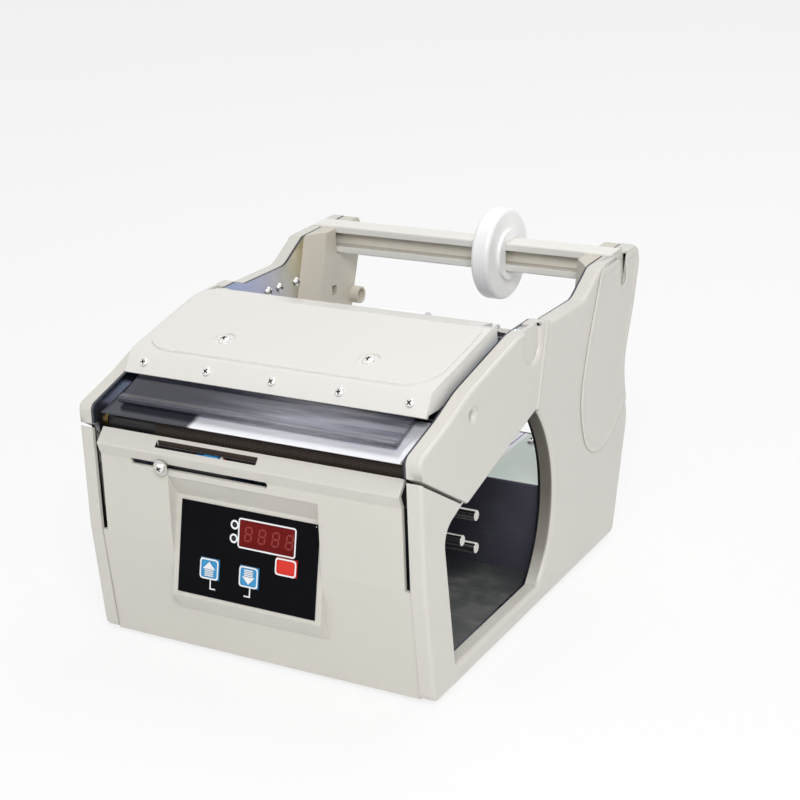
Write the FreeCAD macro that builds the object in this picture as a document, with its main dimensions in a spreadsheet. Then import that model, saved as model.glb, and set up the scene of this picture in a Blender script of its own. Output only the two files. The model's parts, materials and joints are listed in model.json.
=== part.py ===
import FreeCAD, Part
import math
import os
from types import SimpleNamespace
from FreeCAD import Placement, Rotation, Vector

# Electric label dispenser, in millimetres.
# The origin is on the table under the middle of the bounding box. X runs to
# the right, -Y to the front where the label comes out, and +Z up.

os.makedirs("parts", exist_ok=True)
doc = FreeCAD.newDocument("LabelDispenser")

SIZES = {
    # whole object
    "overallWidth": 216.0,
    "footHeight": 2.5,
    "footDiameter": 14.0,
    "footInsetX": 14.0,
    "runClearance": 0.3,
    "shaftClearance": 0.06,

    # side outline, seen from the right
    "frontFootY": -132.5,
    "kinkY": -136.0,
    "kinkZ": 68.0,
    "noseFrontY": -133.2,
    "noseTopZ": 139.2,
    "browY": -101.9,
    "browZ": 147.7,
    "shoulderFrontY": -80.1,
    "shoulderFrontZ": 155.7,
    "shoulderY": -20.5,
    "shoulderZ": 167.2,
    "hingeBossY": 9.0,
    "hingeBossZ": 167.0,
    "dipY": 18.5,
    "dipZ": 163.2,
    "saddleY": 62.0,
    "saddleZ": 161.8,
    "towerFrontY": 85.0,
    "towerTopZ": 174.0,
    "towerRearY": 138.4,
    "rearY": 140.0,
    "rearZ": 162.8,
    "neckY": 130.4,
    "neckZ": 137.5,
    "waistY": 113.8,
    "waistZ": 105.4,
    "bulgeY": 120.4,
    "bulgeZ": 70.0,
    "rearFootY": 95.7,

    # side covers
    "coverDepth": 9.5,
    "coverWall": 2.2,
    "coverRound": 2.0,
    "shieldRise": 0.8,
    "shieldMargin": 3.4,
    "shieldTopY": 93.0,
    "shieldNeckY": 67.0,
    "shieldFrontY": 52.0,
    "postDiameter": 7.0,
    "slitWidth": 1.8,
    "slitFrontZ": 127.4,
    "slitRearY": -92.0,
    "slitRearZ": 99.5,
    "openingFrontY": -107.3,
    "openingBottomZ": 12.5,
    "openingKneeY": -112.4,
    "openingKneeZ": 91.4,
    "openingArcY": -62.2,
    "openingArcZ": 68.5,
    "openingArcRadius": 77.0,
    "noseTipY": -86.0,
    "noseRearY": -3.5,
    "noseRearZ": 118.4,

    # small screws
    "noseScrewDiameter": 4.6,
    "noseScrewSink": 4.2,
    "plateScrewDiameter": 6.4,

    # steel side plates
    "plateThickness": 1.5,
    "plateInset": 0.4,
    "plateFrontY": -127.3,

    # hinge
    "hingeY": -7.0,
    "hingeZ": 162.5,
    "hingeShaftDiameter": 5.0,
    "hingeNutFlats": 8.0,
    "hingeNutLength": 3.8,
    "hingeRecessWidth": 18.0,
    "hingeRecessShift": 1.5,
    "hingeRecessDepth": 2.0,
    "hingeRecessBottom": 147.0,

    # front panel
    "panelWall": 2.4,
    "panelFootY": -131.2,
    "panelKinkY": -135.4,
    "panelLipY": -133.4,
    "panelLipZ": 111.5,
    "panelRidgeY": -136.0,
    "panelRidgeZ": 118.8,
    "panelLedgeY": -128.8,
    "panelLedgeZ": 126.0,
    "panelNarrowing": 3.4,
    "panelStepZ": 66.5,

    # display housing in the front panel
    "bezelCentreX": -2.7,
    "bezelWidth": 95.0,
    "bezelTopY": -126.5,
    "bezelTopZ": 92.8,
    "bezelBottomY": -140.0,
    "bezelBottomZ": 38.2,
    "bezelFootZ": 26.0,
    "membraneSideMargin": 3.5,
    "membraneHeight": 51.2,
    "membraneThickness": 0.5,
    "windowWidth": 35.0,
    "windowHeight": 14.8,
    "windowLeft": 38.2,
    "windowTop": 5.0,
    "keyWidth": 12.0,
    "keyHeight": 11.4,
    "resetWidth": 13.2,
    "resetHeight": 9.4,
    "keyProud": 0.9,
    "keyUpLeft": 20.5,
    "keyDownLeft": 46.0,
    "keyRowTop": 35.4,
    "resetLeft": 69.0,
    "resetTop": 26.0,
    "boardPostInset": 8.0,
    "boardGap": 6.0,
    "boardThickness": 1.6,

    # sensor carriage and its slots
    "sensorSlotLeft": -74.4,
    "sensorSlotLength": 88.2,
    "sensorSlotHeight": 3.2,
    "sensorSlotZ": 110.6,
    "sensorWindowLeft": -57.0,
    "sensorWindowLength": 65.0,
    "sensorScrewX": -53.0,
    "sensorBlockLength": 48.0,
    "sensorBlockDepth": 4.6,
    "sensorBlockHeight": 12.0,
    "sensorHeadLength": 12.0,

    # peel plate and label deck
    "peelFrontY": -131.2,
    "peelFrontZ": 135.0,
    "peelSlope": 0.268,
    "peelRearY": -101.0,
    "peelThickness": 1.2,
    "peelSideGap": 3.4,
    "deckRearY": -24.0,
    "deckSlope": 0.18,
    "deckThickness": 1.2,

    # rollers
    "driveY": -118.0,
    "driveZ": 126.5,
    "driveRollerDiameter": 16.0,
    "driveShaftDiameter": 6.0,
    "pressRollerDiameter": 12.0,
    "pressShaftDiameter": 4.0,
    "rollerEndGap": 2.4,
    "bushFlange": 1.6,
    "bushWall": 1.6,

    # take-up of the waste web
    "hubY": -60.5,
    "hubZ": 65.5,
    "hubDiameter": 34.0,
    "hubThickness": 6.0,
    "hubShaftDiameter": 8.0,
    "pinCircle": 21.4,
    "pinDiameter": 6.0,
    "pinEndGap": 3.0,

    # motor and belts behind the left cover
    "motorY": -122.5,
    "motorZ": 60.0,
    "motorDiameter": 19.0,
    "motorLength": 34.0,
    "motorShaftDiameter": 2.0,
    "beltThickness": 0.9,
    "beltWidth": 1.8,
    "beltSideGap": 0.15,
    "pulleyFlange": 0.4,
    "drivePulleyDiameter": 16.0,
    "motorPulleyDiameter": 9.0,
    "takeupPulleyDiameter": 30.0,

    # waste chamber and base
    "sheetThickness": 1.2,
    "floorThickness": 1.0,
    "baseThickness": 1.5,
    "baseFlange": 13.0,
    "chamberWallY": 20.0,
    "chamberTopZ": 61.4,
    "partitionTopZ": 96.0,
    "rearPanelY": 92.0,
    "jackFromSide": 37.0,
    "jackZ": 30.0,
    "jackBore": 5.6,
    "jackDepth": 9.0,
    "switchFromSide": 37.0,
    "switchWidth": 19.0,
    "switchHeight": 13.0,

    # towers and the reel
    "linerThickness": 10.0,
    "linerFloorZ": 112.0,
    "linerFrontY": 97.0,
    "linerFrontLean": 21.0,
    "linerChamfer": 11.0,
    "linerPocketY": 101.5,
    "linerPocketZ": 134.5,
    "linerPocketSide": 5.6,
    "linerBossY": 124.0,
    "linerBossZ": 125.0,
    "linerBossDiameter": 11.2,
    "linerBossBore": 8.0,
    "linerBossLength": 6.0,
    "barY": 115.0,
    "barBottomZ": 157.5,
    "barEndReach": 4.9,
    "barHeight": 18.0,
    "barDepth": 14.0,
    "barWeb": 3.4,
    "barFlange": 4.6,
    "discDiameter": 56.0,
    "discThickness": 12.0,
    "discX": 26.0,
    "towerRecessWidth": 12.5,
    "towerRecessBottom": 153.0,
    "guideY": 26.0,
    "guideZ": 147.0,
    "guideShaftDiameter": 6.0,
    "collarDiameter": 18.0,
    "collarLength": 30.0,
    "collarX": 8.0,

    # top cover
    "lidSideGap": 2.0,
    "lidRim": 3.0,
    "lidWall": 2.2,
    "lidLipY": -105.0,
    "lidLipZ": 149.6,
    "lidBrowY": -97.5,
    "lidBrowZ": 160.6,
    "lidCrestY": -30.0,
    "lidCrestZ": 173.0,
    "lidRearY": -12.0,
    "lidRearZ": 169.4,
    "lidPanelRise": 1.0,
    "lidPanelCorner": 20.0,
    "lidPanelMargin": 3.0,
    "lidScrewPitch": 42.0,
    "lidScrewDiameter": 5.4,
    "coverScrewDiameter": 7.0,
    "coverPlateThickness": 1.2,
    "lidPlateScrewX": 46.0,
    "lidPlateScrewY": -77.0,
    "guardThickness": 2.0,
    "guardLipY": -122.0,
    "guardLipZ": 140.2,
    "guardSideGap": 5.0,
}

sheet = doc.addObject("Spreadsheet::Sheet", "Sizes")
for row, (alias, number) in enumerate(SIZES.items(), start=1):
    sheet.set("A%d" % row, alias)
    sheet.set("B%d" % row, str(number))
    sheet.setAlias("B%d" % row, alias)
doc.recompute()
d = SimpleNamespace(**{alias: float(sheet.get(alias)) for alias in SIZES})

halfWidth = d.overallWidth / 2
coverInner = halfWidth - d.coverDepth
plateInner = coverInner - d.plateThickness
insideHalf = plateInner - 0.1
bottomZ = d.footHeight
rollerHalf = plateInner - d.bushFlange - d.rollerEndGap
peelHalf = plateInner - d.peelSideGap
lidHalf = plateInner - d.lidSideGap
guardHalf = lidHalf - d.lidRim - d.guardSideGap
membraneWidth = d.bezelWidth - 2 * d.membraneSideMargin
jackX = d.jackFromSide - plateInner
switchX = plateInner - d.switchFromSide
nodes = {}


def cell(name):
    return "Sizes." + name


# Plane geometry. Every profile is drawn in a plane with x and y, so that
# the same points serve the YZ, XZ and XY planes.

def roundedWire(points):
    """Closed wire through (x, y, radius) corners."""
    edges = []
    count = len(points)
    starts = []
    ends = []
    arcs = []
    for i in range(count):
        x, y, radius = points[i]
        corner = Vector(x, y, 0)
        back = Vector(*points[i - 1][:2], 0) - corner
        ahead = Vector(*points[(i + 1) % count][:2], 0) - corner
        limit = min(back.Length, ahead.Length) * 0.49
        back.normalize()
        ahead.normalize()
        half = back.getAngle(ahead) / 2
        if radius < 0.01 or abs(half - math.pi / 2) < 0.005:
            starts.append(corner)
            ends.append(corner)
            arcs.append(None)
            continue
        reach = min(radius / math.tan(half), limit)
        radius = reach * math.tan(half)
        middle = back + ahead
        middle.normalize()
        centre = corner + middle * (radius / math.sin(half))
        starts.append(corner + back * reach)
        ends.append(corner + ahead * reach)
        arcs.append(centre - middle * radius)
    for i in range(count):
        if arcs[i] is not None:
            edges.append(Part.Arc(starts[i], arcs[i], ends[i]).toShape())
        following = (i + 1) % count
        if ends[i].distanceToPoint(starts[following]) > 0.001:
            edges.append(Part.LineSegment(ends[i], starts[following]).toShape())
    return Part.Wire(edges)


def face(points):
    return Part.Face(roundedWire([p if len(p) == 3 else (p[0], p[1], 0) for p in points]))


def rectangle(x0, y0, x1, y1, radius=0):
    return face([(x0, y0, radius), (x1, y0, radius), (x1, y1, radius), (x0, y1, radius)])


def disc(x, y, radius):
    circle = Part.Circle(Vector(x, y, 0), Vector(0, 0, 1), radius)
    return Part.Face(Part.Wire(circle.toShape()))


def grown(shape, distance):
    """The face made larger, or smaller where the distance is negative."""
    outer = shape.OuterWire.makeOffset2D(distance)
    return Part.Face(outer)


def parallelLine(points, distance):
    """The open line moved to its left by the distance, with mitred corners."""
    moved = []
    last = len(points) - 1
    for i in range(len(points)):
        here = Vector(*points[i][:2], 0)
        before = here - Vector(*points[max(i - 1, 0)][:2], 0)
        after = Vector(*points[min(i + 1, last)][:2], 0) - here
        if i == 0:
            before = after
        if i == last:
            after = before
        before.normalize()
        after.normalize()
        normal = Vector(-before.y - after.y, before.x + after.x, 0)
        normal.normalize()
        scale = distance / (normal.x * -before.y + normal.y * before.x)
        moved.append(here + normal * scale)
    return moved


def band(points, thickness, radius=0):
    """A bent sheet: the line (x, y) thickened to its left."""
    inner = parallelLine(points, thickness)
    outline = []
    for i, point in enumerate(points):
        bend = radius if 0 < i < len(points) - 1 else 0
        outline.append((point[0], point[1], bend))
    for i in range(len(points) - 1, -1, -1):
        bend = radius if 0 < i < len(points) - 1 else 0
        outline.append((inner[i].x, inner[i].y, bend))
    return face(outline)


# Sketches and features of the bodies

def sketchGeometry(shape):
    found = []
    for edge in shape.Edges:
        curve = edge.Curve
        first = edge.valueAt(edge.FirstParameter)
        last = edge.valueAt(edge.LastParameter)
        if isinstance(curve, Part.Circle):
            circle = Part.Circle(curve.Center, Vector(0, 0, 1), curve.Radius)
            if edge.isClosed():
                found.append(circle)
                continue
            middle = edge.valueAt((edge.FirstParameter + edge.LastParameter) / 2)
            angles = [math.atan2(p.y - curve.Center.y, p.x - curve.Center.x)
                      for p in (first, middle, last)]
            turn = (angles[2] - angles[0]) % (2 * math.pi)
            if (angles[1] - angles[0]) % (2 * math.pi) > turn:
                angles.reverse()
                turn = 2 * math.pi - turn
            found.append(Part.ArcOfCircle(circle, angles[0], angles[0] + turn))
        else:
            found.append(Part.LineSegment(first, last))
    return found


def middleOf(edge):
    return edge.valueAt((edge.FirstParameter + edge.LastParameter) / 2)


def newBody(name):
    return doc.addObject("PartDesign::Body", name)


def sketchOn(body, role, offset, shape):
    """A sketch of the face's edges on an origin plane, moved along its normal."""
    sketch = body.newObject("Sketcher::SketchObject", body.Name + "Sketch")
    plane = [f for f in body.Origin.OriginFeatures if f.Role == role][0]
    sketch.AttachmentSupport = [(plane, "")]
    sketch.MapMode = "FlatFace"
    if isinstance(offset, str):
        sketch.setExpression("AttachmentOffset.Base.z", offset)
    else:
        sketch.AttachmentOffset = Placement(Vector(0, 0, offset), Rotation())
    sketch.addGeometry(sketchGeometry(shape), False)
    return sketch


def feature(kind, body, role, offset, shape, length, reverse=False):
    sketch = sketchOn(body, role, offset, shape)
    made = body.newObject("PartDesign::" + kind, body.Name + kind)
    made.Profile = sketch
    if isinstance(length, str):
        made.setExpression("Length", length)
    else:
        made.Length = length
    made.Reversed = reverse
    return made


def pad(body, role, offset, shape, length, reverse=False):
    return feature("Pad", body, role, offset, shape, length, reverse)


def pocket(body, role, offset, shape, length, reverse=False):
    return feature("Pocket", body, role, offset, shape, length, reverse)


def keep(made, name):
    made.Label = name
    nodes[name] = made
    return made


def keepShape(name, shape):
    """A group of like pieces, or a form that no single feature makes."""
    made = doc.addObject("Part::Feature", name)
    made.Shape = shape
    return keep(made, name)


def rod(name, diameter, length, x, y, z):
    """A round bar along X that starts at x."""
    made = doc.addObject("Part::Cylinder", name)
    made.setExpression("Radius", "(" + diameter + ") / 2")
    made.setExpression("Height", length)
    made.Placement = Placement(Vector(x, y, z), Rotation(Vector(0, 1, 0), 90))
    return made


def tube(name, outside, bore, length, x, y, z):
    outer = rod(name + "Outside", outside, length, x, y, z)
    inner = rod(name + "Bore", bore, "(" + length + ") + 2", x - 1, y, z)
    made = doc.addObject("Part::Cut", name)
    made.Base = outer
    made.Tool = inner
    return made


def joined(name, pieces):
    made = doc.addObject("Part::MultiFuse", name)
    made.Shapes = pieces
    return made


def turned(points, x, y, z, axis):
    """A solid of revolution from (radius, height) points, set along an axis."""
    wire = Part.makePolygon([Vector(r, 0, h) for r, h in points + points[:1]])
    solid = Part.Face(wire).revolve(Vector(0, 0, 0), Vector(0, 0, 1), 360)
    solid.Placement = Placement(Vector(x, y, z), Rotation(Vector(0, 0, 1), axis))
    return solid


def domedScrew(headDiameter, headHeight, shankLength, x, y, z, axis):
    """Head above the seat and a plain shank below it."""
    radius = headDiameter / 2
    profile = [(0, headHeight), (radius * 0.55, headHeight * 0.86), (radius * 0.88, headHeight * 0.5),
               (radius, 0), (radius * 0.5, 0), (radius * 0.5, -shankLength), (0, -shankLength)]
    return turned(profile, x, y, z, axis)


# Side outline and what is cut through it

def sideOutline():
    return face([
        (d.frontFootY, bottomZ, 5),
        (d.kinkY, d.kinkZ, 30),
        (d.noseFrontY, d.noseTopZ, 5),
        (d.browY, d.browZ, 30),
        (d.shoulderFrontY, d.shoulderFrontZ, 60),
        (d.shoulderY, d.shoulderZ, 60),
        (d.hingeBossY, d.hingeBossZ, 6),
        (d.dipY, d.dipZ, 6),
        (d.saddleY, d.saddleZ, 14),
        (d.towerFrontY, d.towerTopZ, 8),
        (d.towerRearY, d.towerTopZ, 4),
        (d.rearY, d.rearZ, 12),
        (d.neckY, d.neckZ, 60),
        (d.waistY, d.waistZ, 45),
        (d.bulgeY, d.bulgeZ, 25),
        (d.rearFootY, bottomZ, 6),
    ])


slitDrop = (d.slitFrontZ - d.slitRearZ) / (d.slitRearY - d.noseFrontY)


def slitZ(y):
    return d.slitFrontZ - (y - d.noseFrontY) * slitDrop


def slitShape(width):
    """The thin path that lets the web be slid in from the right side."""
    lift = width / 2 * math.hypot(1, slitDrop)
    front = d.kinkY - 10
    rear = d.slitRearY + 4
    return face([(front, slitZ(front) - lift), (rear, slitZ(rear) - lift),
                 (rear, slitZ(rear) + lift), (front, slitZ(front) + lift)])


def openingShape():
    """The side door of the waste chamber: straight front, round rear."""
    centre = Vector(d.openingArcY, d.openingArcZ, 0)
    radius = d.openingArcRadius
    below = d.openingArcZ - d.openingBottomZ
    lowRear = Vector(centre.x + math.sqrt(radius ** 2 - below ** 2), d.openingBottomZ, 0)
    above = d.noseRearZ - d.openingArcZ
    highRear = Vector(centre.x + math.sqrt(radius ** 2 - above ** 2), d.noseRearZ, 0)
    lift = d.slitWidth / 2 * math.hypot(1, slitDrop)
    noseTip = (d.noseTipY, slitZ(d.noseTipY) + lift)
    columnTip = (d.slitRearY, slitZ(d.slitRearY) - lift)
    straight = face([
        (d.openingFrontY, d.openingBottomZ, 4),
        (lowRear.x, lowRear.y, 0),
        (highRear.x, highRear.y, 0),
        (noseTip[0], noseTip[1], 4),
        (columnTip[0], columnTip[1], 3),
        (d.openingKneeY, d.openingKneeZ, 12),
    ])
    bow = Part.Arc(lowRear, Vector(centre.x + radius, centre.y, 0), highRear).toShape()
    chord = Part.LineSegment(highRear, lowRear).toShape()
    segment = Part.Face(Part.Wire([bow, chord]))
    return straight.fuse(segment).removeSplitter().Faces[0]


def notch(y, width, bottom, top):
    """A U that is open at its top."""
    half = width / 2
    return face([(y - half, bottom, half * 0.99), (y + half, bottom, half * 0.99),
                 (y + half, top, 0), (y - half, top, 0)])


def barSlot():
    """The room of the reel bar's end, open at its top."""
    half = d.barDepth / 2 + d.runClearance
    return rectangle(d.barY - half, d.barBottomZ - d.runClearance, d.barY + half, d.towerTopZ + 5)


def shieldShape(outline):
    """The raised field below the tower, with a round lower end."""
    lower = face([
        (d.shieldTopY, d.towerTopZ + 10, 0),
        (d.shieldNeckY, d.neckZ - 2, 60),
        (d.shieldFrontY, d.waistZ - 4, 60),
        (d.shieldFrontY + 8, d.bulgeZ - 1, 18),
        (d.shieldFrontY + 36, d.bulgeZ - 6, 30),
        (d.bulgeY + 12, d.bulgeZ + 26, 20),
        (d.rearY + 10, d.neckZ, 0),
        (d.rearY + 10, d.towerTopZ + 10, 0),
    ])
    return lower.common(grown(outline, -d.shieldMargin)).Faces[0]


coverPosts = [(-116.0, 18.0), (-121.0, 102.0), (66.0, 20.0), (104.0, 92.0), (30.0, 152.0)]
noseScrew = (-78.0, 143.0)
plateScrewPlaces = [(42.0, 150.6), (54.3, 149.3), (73.3, 147.4), (62.0, 92.0)]


def sideCover(name, side):
    """Deep moulded cover, hollow towards its steel plate."""
    body = newBody(name)
    outline = sideOutline()
    back = side < 0
    inner = "%d * (Sizes.overallWidth / 2 - Sizes.coverDepth)" % side
    flat = "%d * (Sizes.overallWidth / 2 - Sizes.shieldRise)" % side
    outer = "%d * Sizes.overallWidth / 2" % side
    blank = outline.cut(slitShape(d.slitWidth))
    if not back:
        blank = outline.cut(openingShape().fuse(slitShape(d.slitWidth)).removeSplitter())
    pad(body, "YZ_Plane", inner, blank.Faces[0] if len(blank.Faces) == 1 else blank,
        cell("coverDepth") + " - " + cell("shieldRise"), back)
    doc.recompute()
    base = body.Tip
    flatX = side * (halfWidth - d.shieldRise)
    rimWire = outline.OuterWire.copy()
    rimWire.Placement = Placement(Vector(flatX, 0, 0), Rotation(Vector(1, 1, 1), 120))
    rims = ["Edge%d" % (i + 1) for i, edge in enumerate(base.Shape.Edges)
            if edge.Length > 1 and rimWire.distToShape(Part.Vertex(middleOf(edge)))[0] < 0.01]
    rounding = body.newObject("PartDesign::Fillet", name + "Rounding")
    rounding.Base = (base, rims)
    rounding.setExpression("Radius", cell("coverRound"))
    doc.recompute()

    pad(body, "YZ_Plane", flat, shieldShape(outline), cell("shieldRise"), back)

    hingeNotch = notch(d.hingeY + d.hingeRecessShift, d.hingeRecessWidth, d.hingeRecessBottom, d.towerTopZ)
    towerNotch = notch(d.barY, d.towerRecessWidth, d.towerRecessBottom, d.towerTopZ + 5)
    cavity = grown(outline, -d.coverWall)
    cavity = cavity.cut(grown(hingeNotch, d.coverWall))
    cavity = cavity.cut(grown(barSlot(), d.coverWall))
    if not back:
        cavity = cavity.cut(grown(openingShape(), d.coverWall))
        cavity = cavity.cut(slitShape(d.slitWidth + 2 * d.coverWall))
    for y, z in coverPosts + [noseScrew]:
        cavity = cavity.cut(disc(y, z, d.postDiameter / 2))
    depth = cell("coverDepth") + " - " + cell("shieldRise") + " - " + cell("coverWall")
    for part in cavity.Faces:
        pocket(body, "YZ_Plane", inner, part, depth, not back)

    pocket(body, "YZ_Plane", flat, hingeNotch, cell("hingeRecessDepth"), back)
    pocket(body, "YZ_Plane", outer, towerNotch,
           cell("hingeRecessDepth") + " + " + cell("shieldRise"), back)
    pocket(body, "YZ_Plane", inner, barSlot(), cell("barEndReach") + " + " + cell("runClearance"), not back)
    nutRoom = notch(d.hingeY, d.hingeNutFlats + 3, d.hingeZ - d.hingeNutFlats / 2 - 1.5, d.towerTopZ)
    pocket(body, "YZ_Plane", inner, nutRoom, cell("hingeNutLength") + " + 0.6", not back)
    pocket(body, "YZ_Plane", flat, disc(noseScrew[0], noseScrew[1], 2.6), cell("noseScrewSink"), back)
    pocket(body, "YZ_Plane", flat, disc(noseScrew[0], noseScrew[1], d.noseScrewDiameter / 4 + 0.1),
           cell("coverDepth"), back)
    return keep(body, name)


sideCover("left_side_cover", -1)
sideCover("right_side_cover", 1)


# Steel side plates

shaftHoles = [
    (d.driveY, d.driveZ, d.driveShaftDiameter / 2 + d.bushWall),
    (d.driveY, d.driveZ - (d.driveRollerDiameter + d.pressRollerDiameter) / 2 - d.runClearance,
     d.pressShaftDiameter / 2 + d.shaftClearance),
    (d.hingeY, d.hingeZ, d.hingeShaftDiameter / 2),
    (d.guideY, d.guideZ, d.guideShaftDiameter / 2),
]
pressZ = shaftHoles[1][1]


def sidePlate(name, side):
    body = newBody(name)
    shape = grown(sideOutline(), -d.plateInset)
    panelRoom = face([(d.kinkY - 20, 0), (d.plateFrontY, 0), (d.plateFrontY, d.slitFrontZ - 1),
                      (d.noseFrontY + 3, d.slitFrontZ + 1.4), (d.kinkY - 20, d.slitFrontZ + 1.4)])
    shape = shape.cut(panelRoom)
    if side > 0:
        shape = shape.cut(openingShape().fuse(slitShape(d.slitWidth)).removeSplitter())
    for y, z, radius in shaftHoles:
        shape = shape.cut(disc(y, z, radius))
    if side < 0:
        shape = shape.cut(disc(d.hubY, d.hubZ, d.hubShaftDiameter / 2 + d.bushWall))
        shape = shape.cut(disc(d.motorY, d.motorZ, d.motorPulleyDiameter / 2))
    shape = shape.cut(barSlot())
    shape = shape.cut(disc(noseScrew[0], noseScrew[1], d.noseScrewDiameter / 4 + 0.1))
    for y, z in plateScrewPlaces:
        shape = shape.cut(disc(y, z, d.plateScrewDiameter / 4 + 0.1))
    start = "%d * (Sizes.overallWidth / 2 - Sizes.coverDepth)" % side
    pad(body, "YZ_Plane", start, max(shape.Faces, key=lambda f: f.Area),
        cell("plateThickness"), side > 0)
    return keep(body, name)


sidePlate("left_side_plate", -1)
sidePlate("right_side_plate", 1)


# Base, chamber and rear panel

def sheetPart(name, points, thickness, half, radius=1.5):
    """A bent sheet across the whole inside width."""
    body = newBody(name)
    pad(body, "YZ_Plane", -half, band(points, d.__dict__[thickness], radius), 2 * half)
    return keep(body, name)


baseTop = bottomZ + d.baseThickness
baseFrontY = d.plateFrontY + 0.6
sheetPart("base_tray", [(baseFrontY, bottomZ + d.baseFlange), (baseFrontY, bottomZ),
                        (d.rearPanelY, bottomZ), (d.rearPanelY, bottomZ + d.baseFlange)],
          "baseThickness", insideHalf)

chamberFloor = newBody("chamber_floor")
pad(chamberFloor, "XY_Plane", baseTop, rectangle(-insideHalf, d.openingFrontY + 1, insideHalf,
                                                 d.chamberWallY), cell("floorThickness"))
keep(chamberFloor, "chamber_floor")

sheetPart("chamber_wall", [(d.rearPanelY - d.baseThickness - d.sheetThickness - 0.2, d.chamberTopZ),
                           (d.chamberWallY, d.chamberTopZ), (d.chamberWallY, baseTop)],
          "sheetThickness", insideHalf)

partitionLean = (d.openingKneeY - d.openingFrontY) / (d.openingKneeZ - d.openingBottomZ)


def partitionY(z):
    return d.openingFrontY - 1.4 + (z - d.openingBottomZ) * partitionLean


sheetPart("front_partition", [(partitionY(baseTop), baseTop + 0.3),
                              (partitionY(d.partitionTopZ), d.partitionTopZ)],
          "sheetThickness", insideHalf)

switchRoom = rectangle(switchX - d.switchWidth / 2, d.jackZ - d.switchHeight / 2,
                       switchX + d.switchWidth / 2, d.jackZ + d.switchHeight / 2)
jackRoom = disc(jackX, d.jackZ, d.jackBore / 2 + 1.4)
rearPanel = newBody("rear_panel")
rearInnerY = d.rearPanelY - d.baseThickness
rearBottomZ = baseTop + d.baseThickness + 0.1
pad(rearPanel, "XZ_Plane", -rearInnerY,
    rectangle(-insideHalf, rearBottomZ, insideHalf, d.chamberTopZ).cut(switchRoom).cut(jackRoom).Faces[0],
    cell("sheetThickness"))
keep(rearPanel, "rear_panel")


def alongY(diameter, length, x, y, z):
    """A round solid along +Y from y."""
    return Part.makeCylinder(diameter / 2, length, Vector(x, y, z), Vector(0, 1, 0))


jackShell = alongY(d.jackBore + 2.6, d.jackDepth + 2, jackX, rearInnerY - d.sheetThickness - d.jackDepth,
                   d.jackZ)
jackShell = jackShell.fuse(alongY(d.jackBore + 7, 1.0, jackX, rearInnerY + d.baseThickness - 1.5, d.jackZ))
jackRear = jackShell.BoundBox.YMax
jackShell = jackShell.cut(alongY(d.jackBore, d.jackDepth, jackX, jackRear - d.jackDepth, d.jackZ))
jackPin = alongY(2.0, d.jackDepth + 1, jackX, jackRear - d.jackDepth - 0.5, d.jackZ)
keepShape("power_jack", jackShell.fuse(jackPin))

switchFrontY = rearInnerY - d.sheetThickness - 10
switchBody = Part.makeBox(d.switchWidth - 0.2, 10 + d.sheetThickness, d.switchHeight - 0.2,
                          Vector(switchX - d.switchWidth / 2 + 0.1, switchFrontY,
                                 d.jackZ - d.switchHeight / 2 + 0.1))
switchFlange = Part.makeBox(d.switchWidth + 2, 1.2, d.switchHeight + 2,
                            Vector(switchX - d.switchWidth / 2 - 1, rearInnerY,
                                   d.jackZ - d.switchHeight / 2 - 1))
rockerWidth = d.switchWidth - 4
rockerHeight = d.switchHeight - 3
rockerAxisY = rearInnerY - 2.2
rockerRoom = Part.makeBox(rockerWidth + 0.6, 8.6, rockerHeight + 0.6,
                          Vector(switchX - rockerWidth / 2 - 0.3, rearInnerY - 7.2,
                                 d.jackZ - rockerHeight / 2 - 0.3))
rockerPinReach = 0.9


def rockerPin(radius, extra):
    """The rocker's pivot, along Z through both its ends."""
    length = rockerHeight + 2 * (rockerPinReach + d.runClearance + extra)
    return Part.makeCylinder(radius, length, Vector(switchX, rockerAxisY, d.jackZ - length / 2))


switchFrame = switchBody.fuse(switchFlange).cut(rockerRoom).cut(rockerPin(1.2 + d.shaftClearance, 0.1))
keepShape("switch_frame", switchFrame.removeSplitter())
rockerPoints = [(-rockerWidth / 2 + 0.7, -2.6), (rockerWidth / 2 - 0.7, -2.6), (rockerWidth / 2 - 1.1, 4.2),
                (0, 2.6), (-rockerWidth / 2 + 0.4, 2.0)]
rockerFace = Part.Face(Part.makePolygon([Vector(x + switchX, rockerAxisY + y, 0)
                                         for x, y in rockerPoints + rockerPoints[:1]]))
rocker = rockerFace.extrude(Vector(0, 0, rockerHeight))
rocker.translate(Vector(0, 0, d.jackZ - rockerHeight / 2))
keepShape("power_rocker", rocker.fuse(rockerPin(1.2, 0)).removeSplitter())


# Front panel with its display housing

panelLine = [
    (d.panelLedgeY, d.panelLedgeZ),
    (d.panelRidgeY, d.panelRidgeZ),
    (d.panelLipY, d.panelLipZ),
    (d.panelKinkY, d.kinkZ - 2),
    (d.panelFootY, bottomZ + 0.3),
]
bezelLeft = d.bezelCentreX - d.bezelWidth / 2
bezelRight = d.bezelCentreX + d.bezelWidth / 2
bezelRise = math.degrees(math.atan2(d.bezelTopZ - d.bezelBottomZ, d.bezelTopY - d.bezelBottomY))
housingTop = (d.panelLipY + 0.2, d.panelLipZ - 5.2)
footSlope = (d.panelFootY - d.panelKinkY) / (d.kinkZ - 2 - bottomZ)
footY = d.panelKinkY + (d.kinkZ - 2 - d.bezelFootZ) * footSlope
housingLine = [housingTop, (d.bezelTopY, d.bezelTopZ), (d.bezelBottomY, d.bezelBottomZ),
               (footY + 0.4, d.bezelFootZ)]
panelHalf = coverInner - d.runClearance

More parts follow.
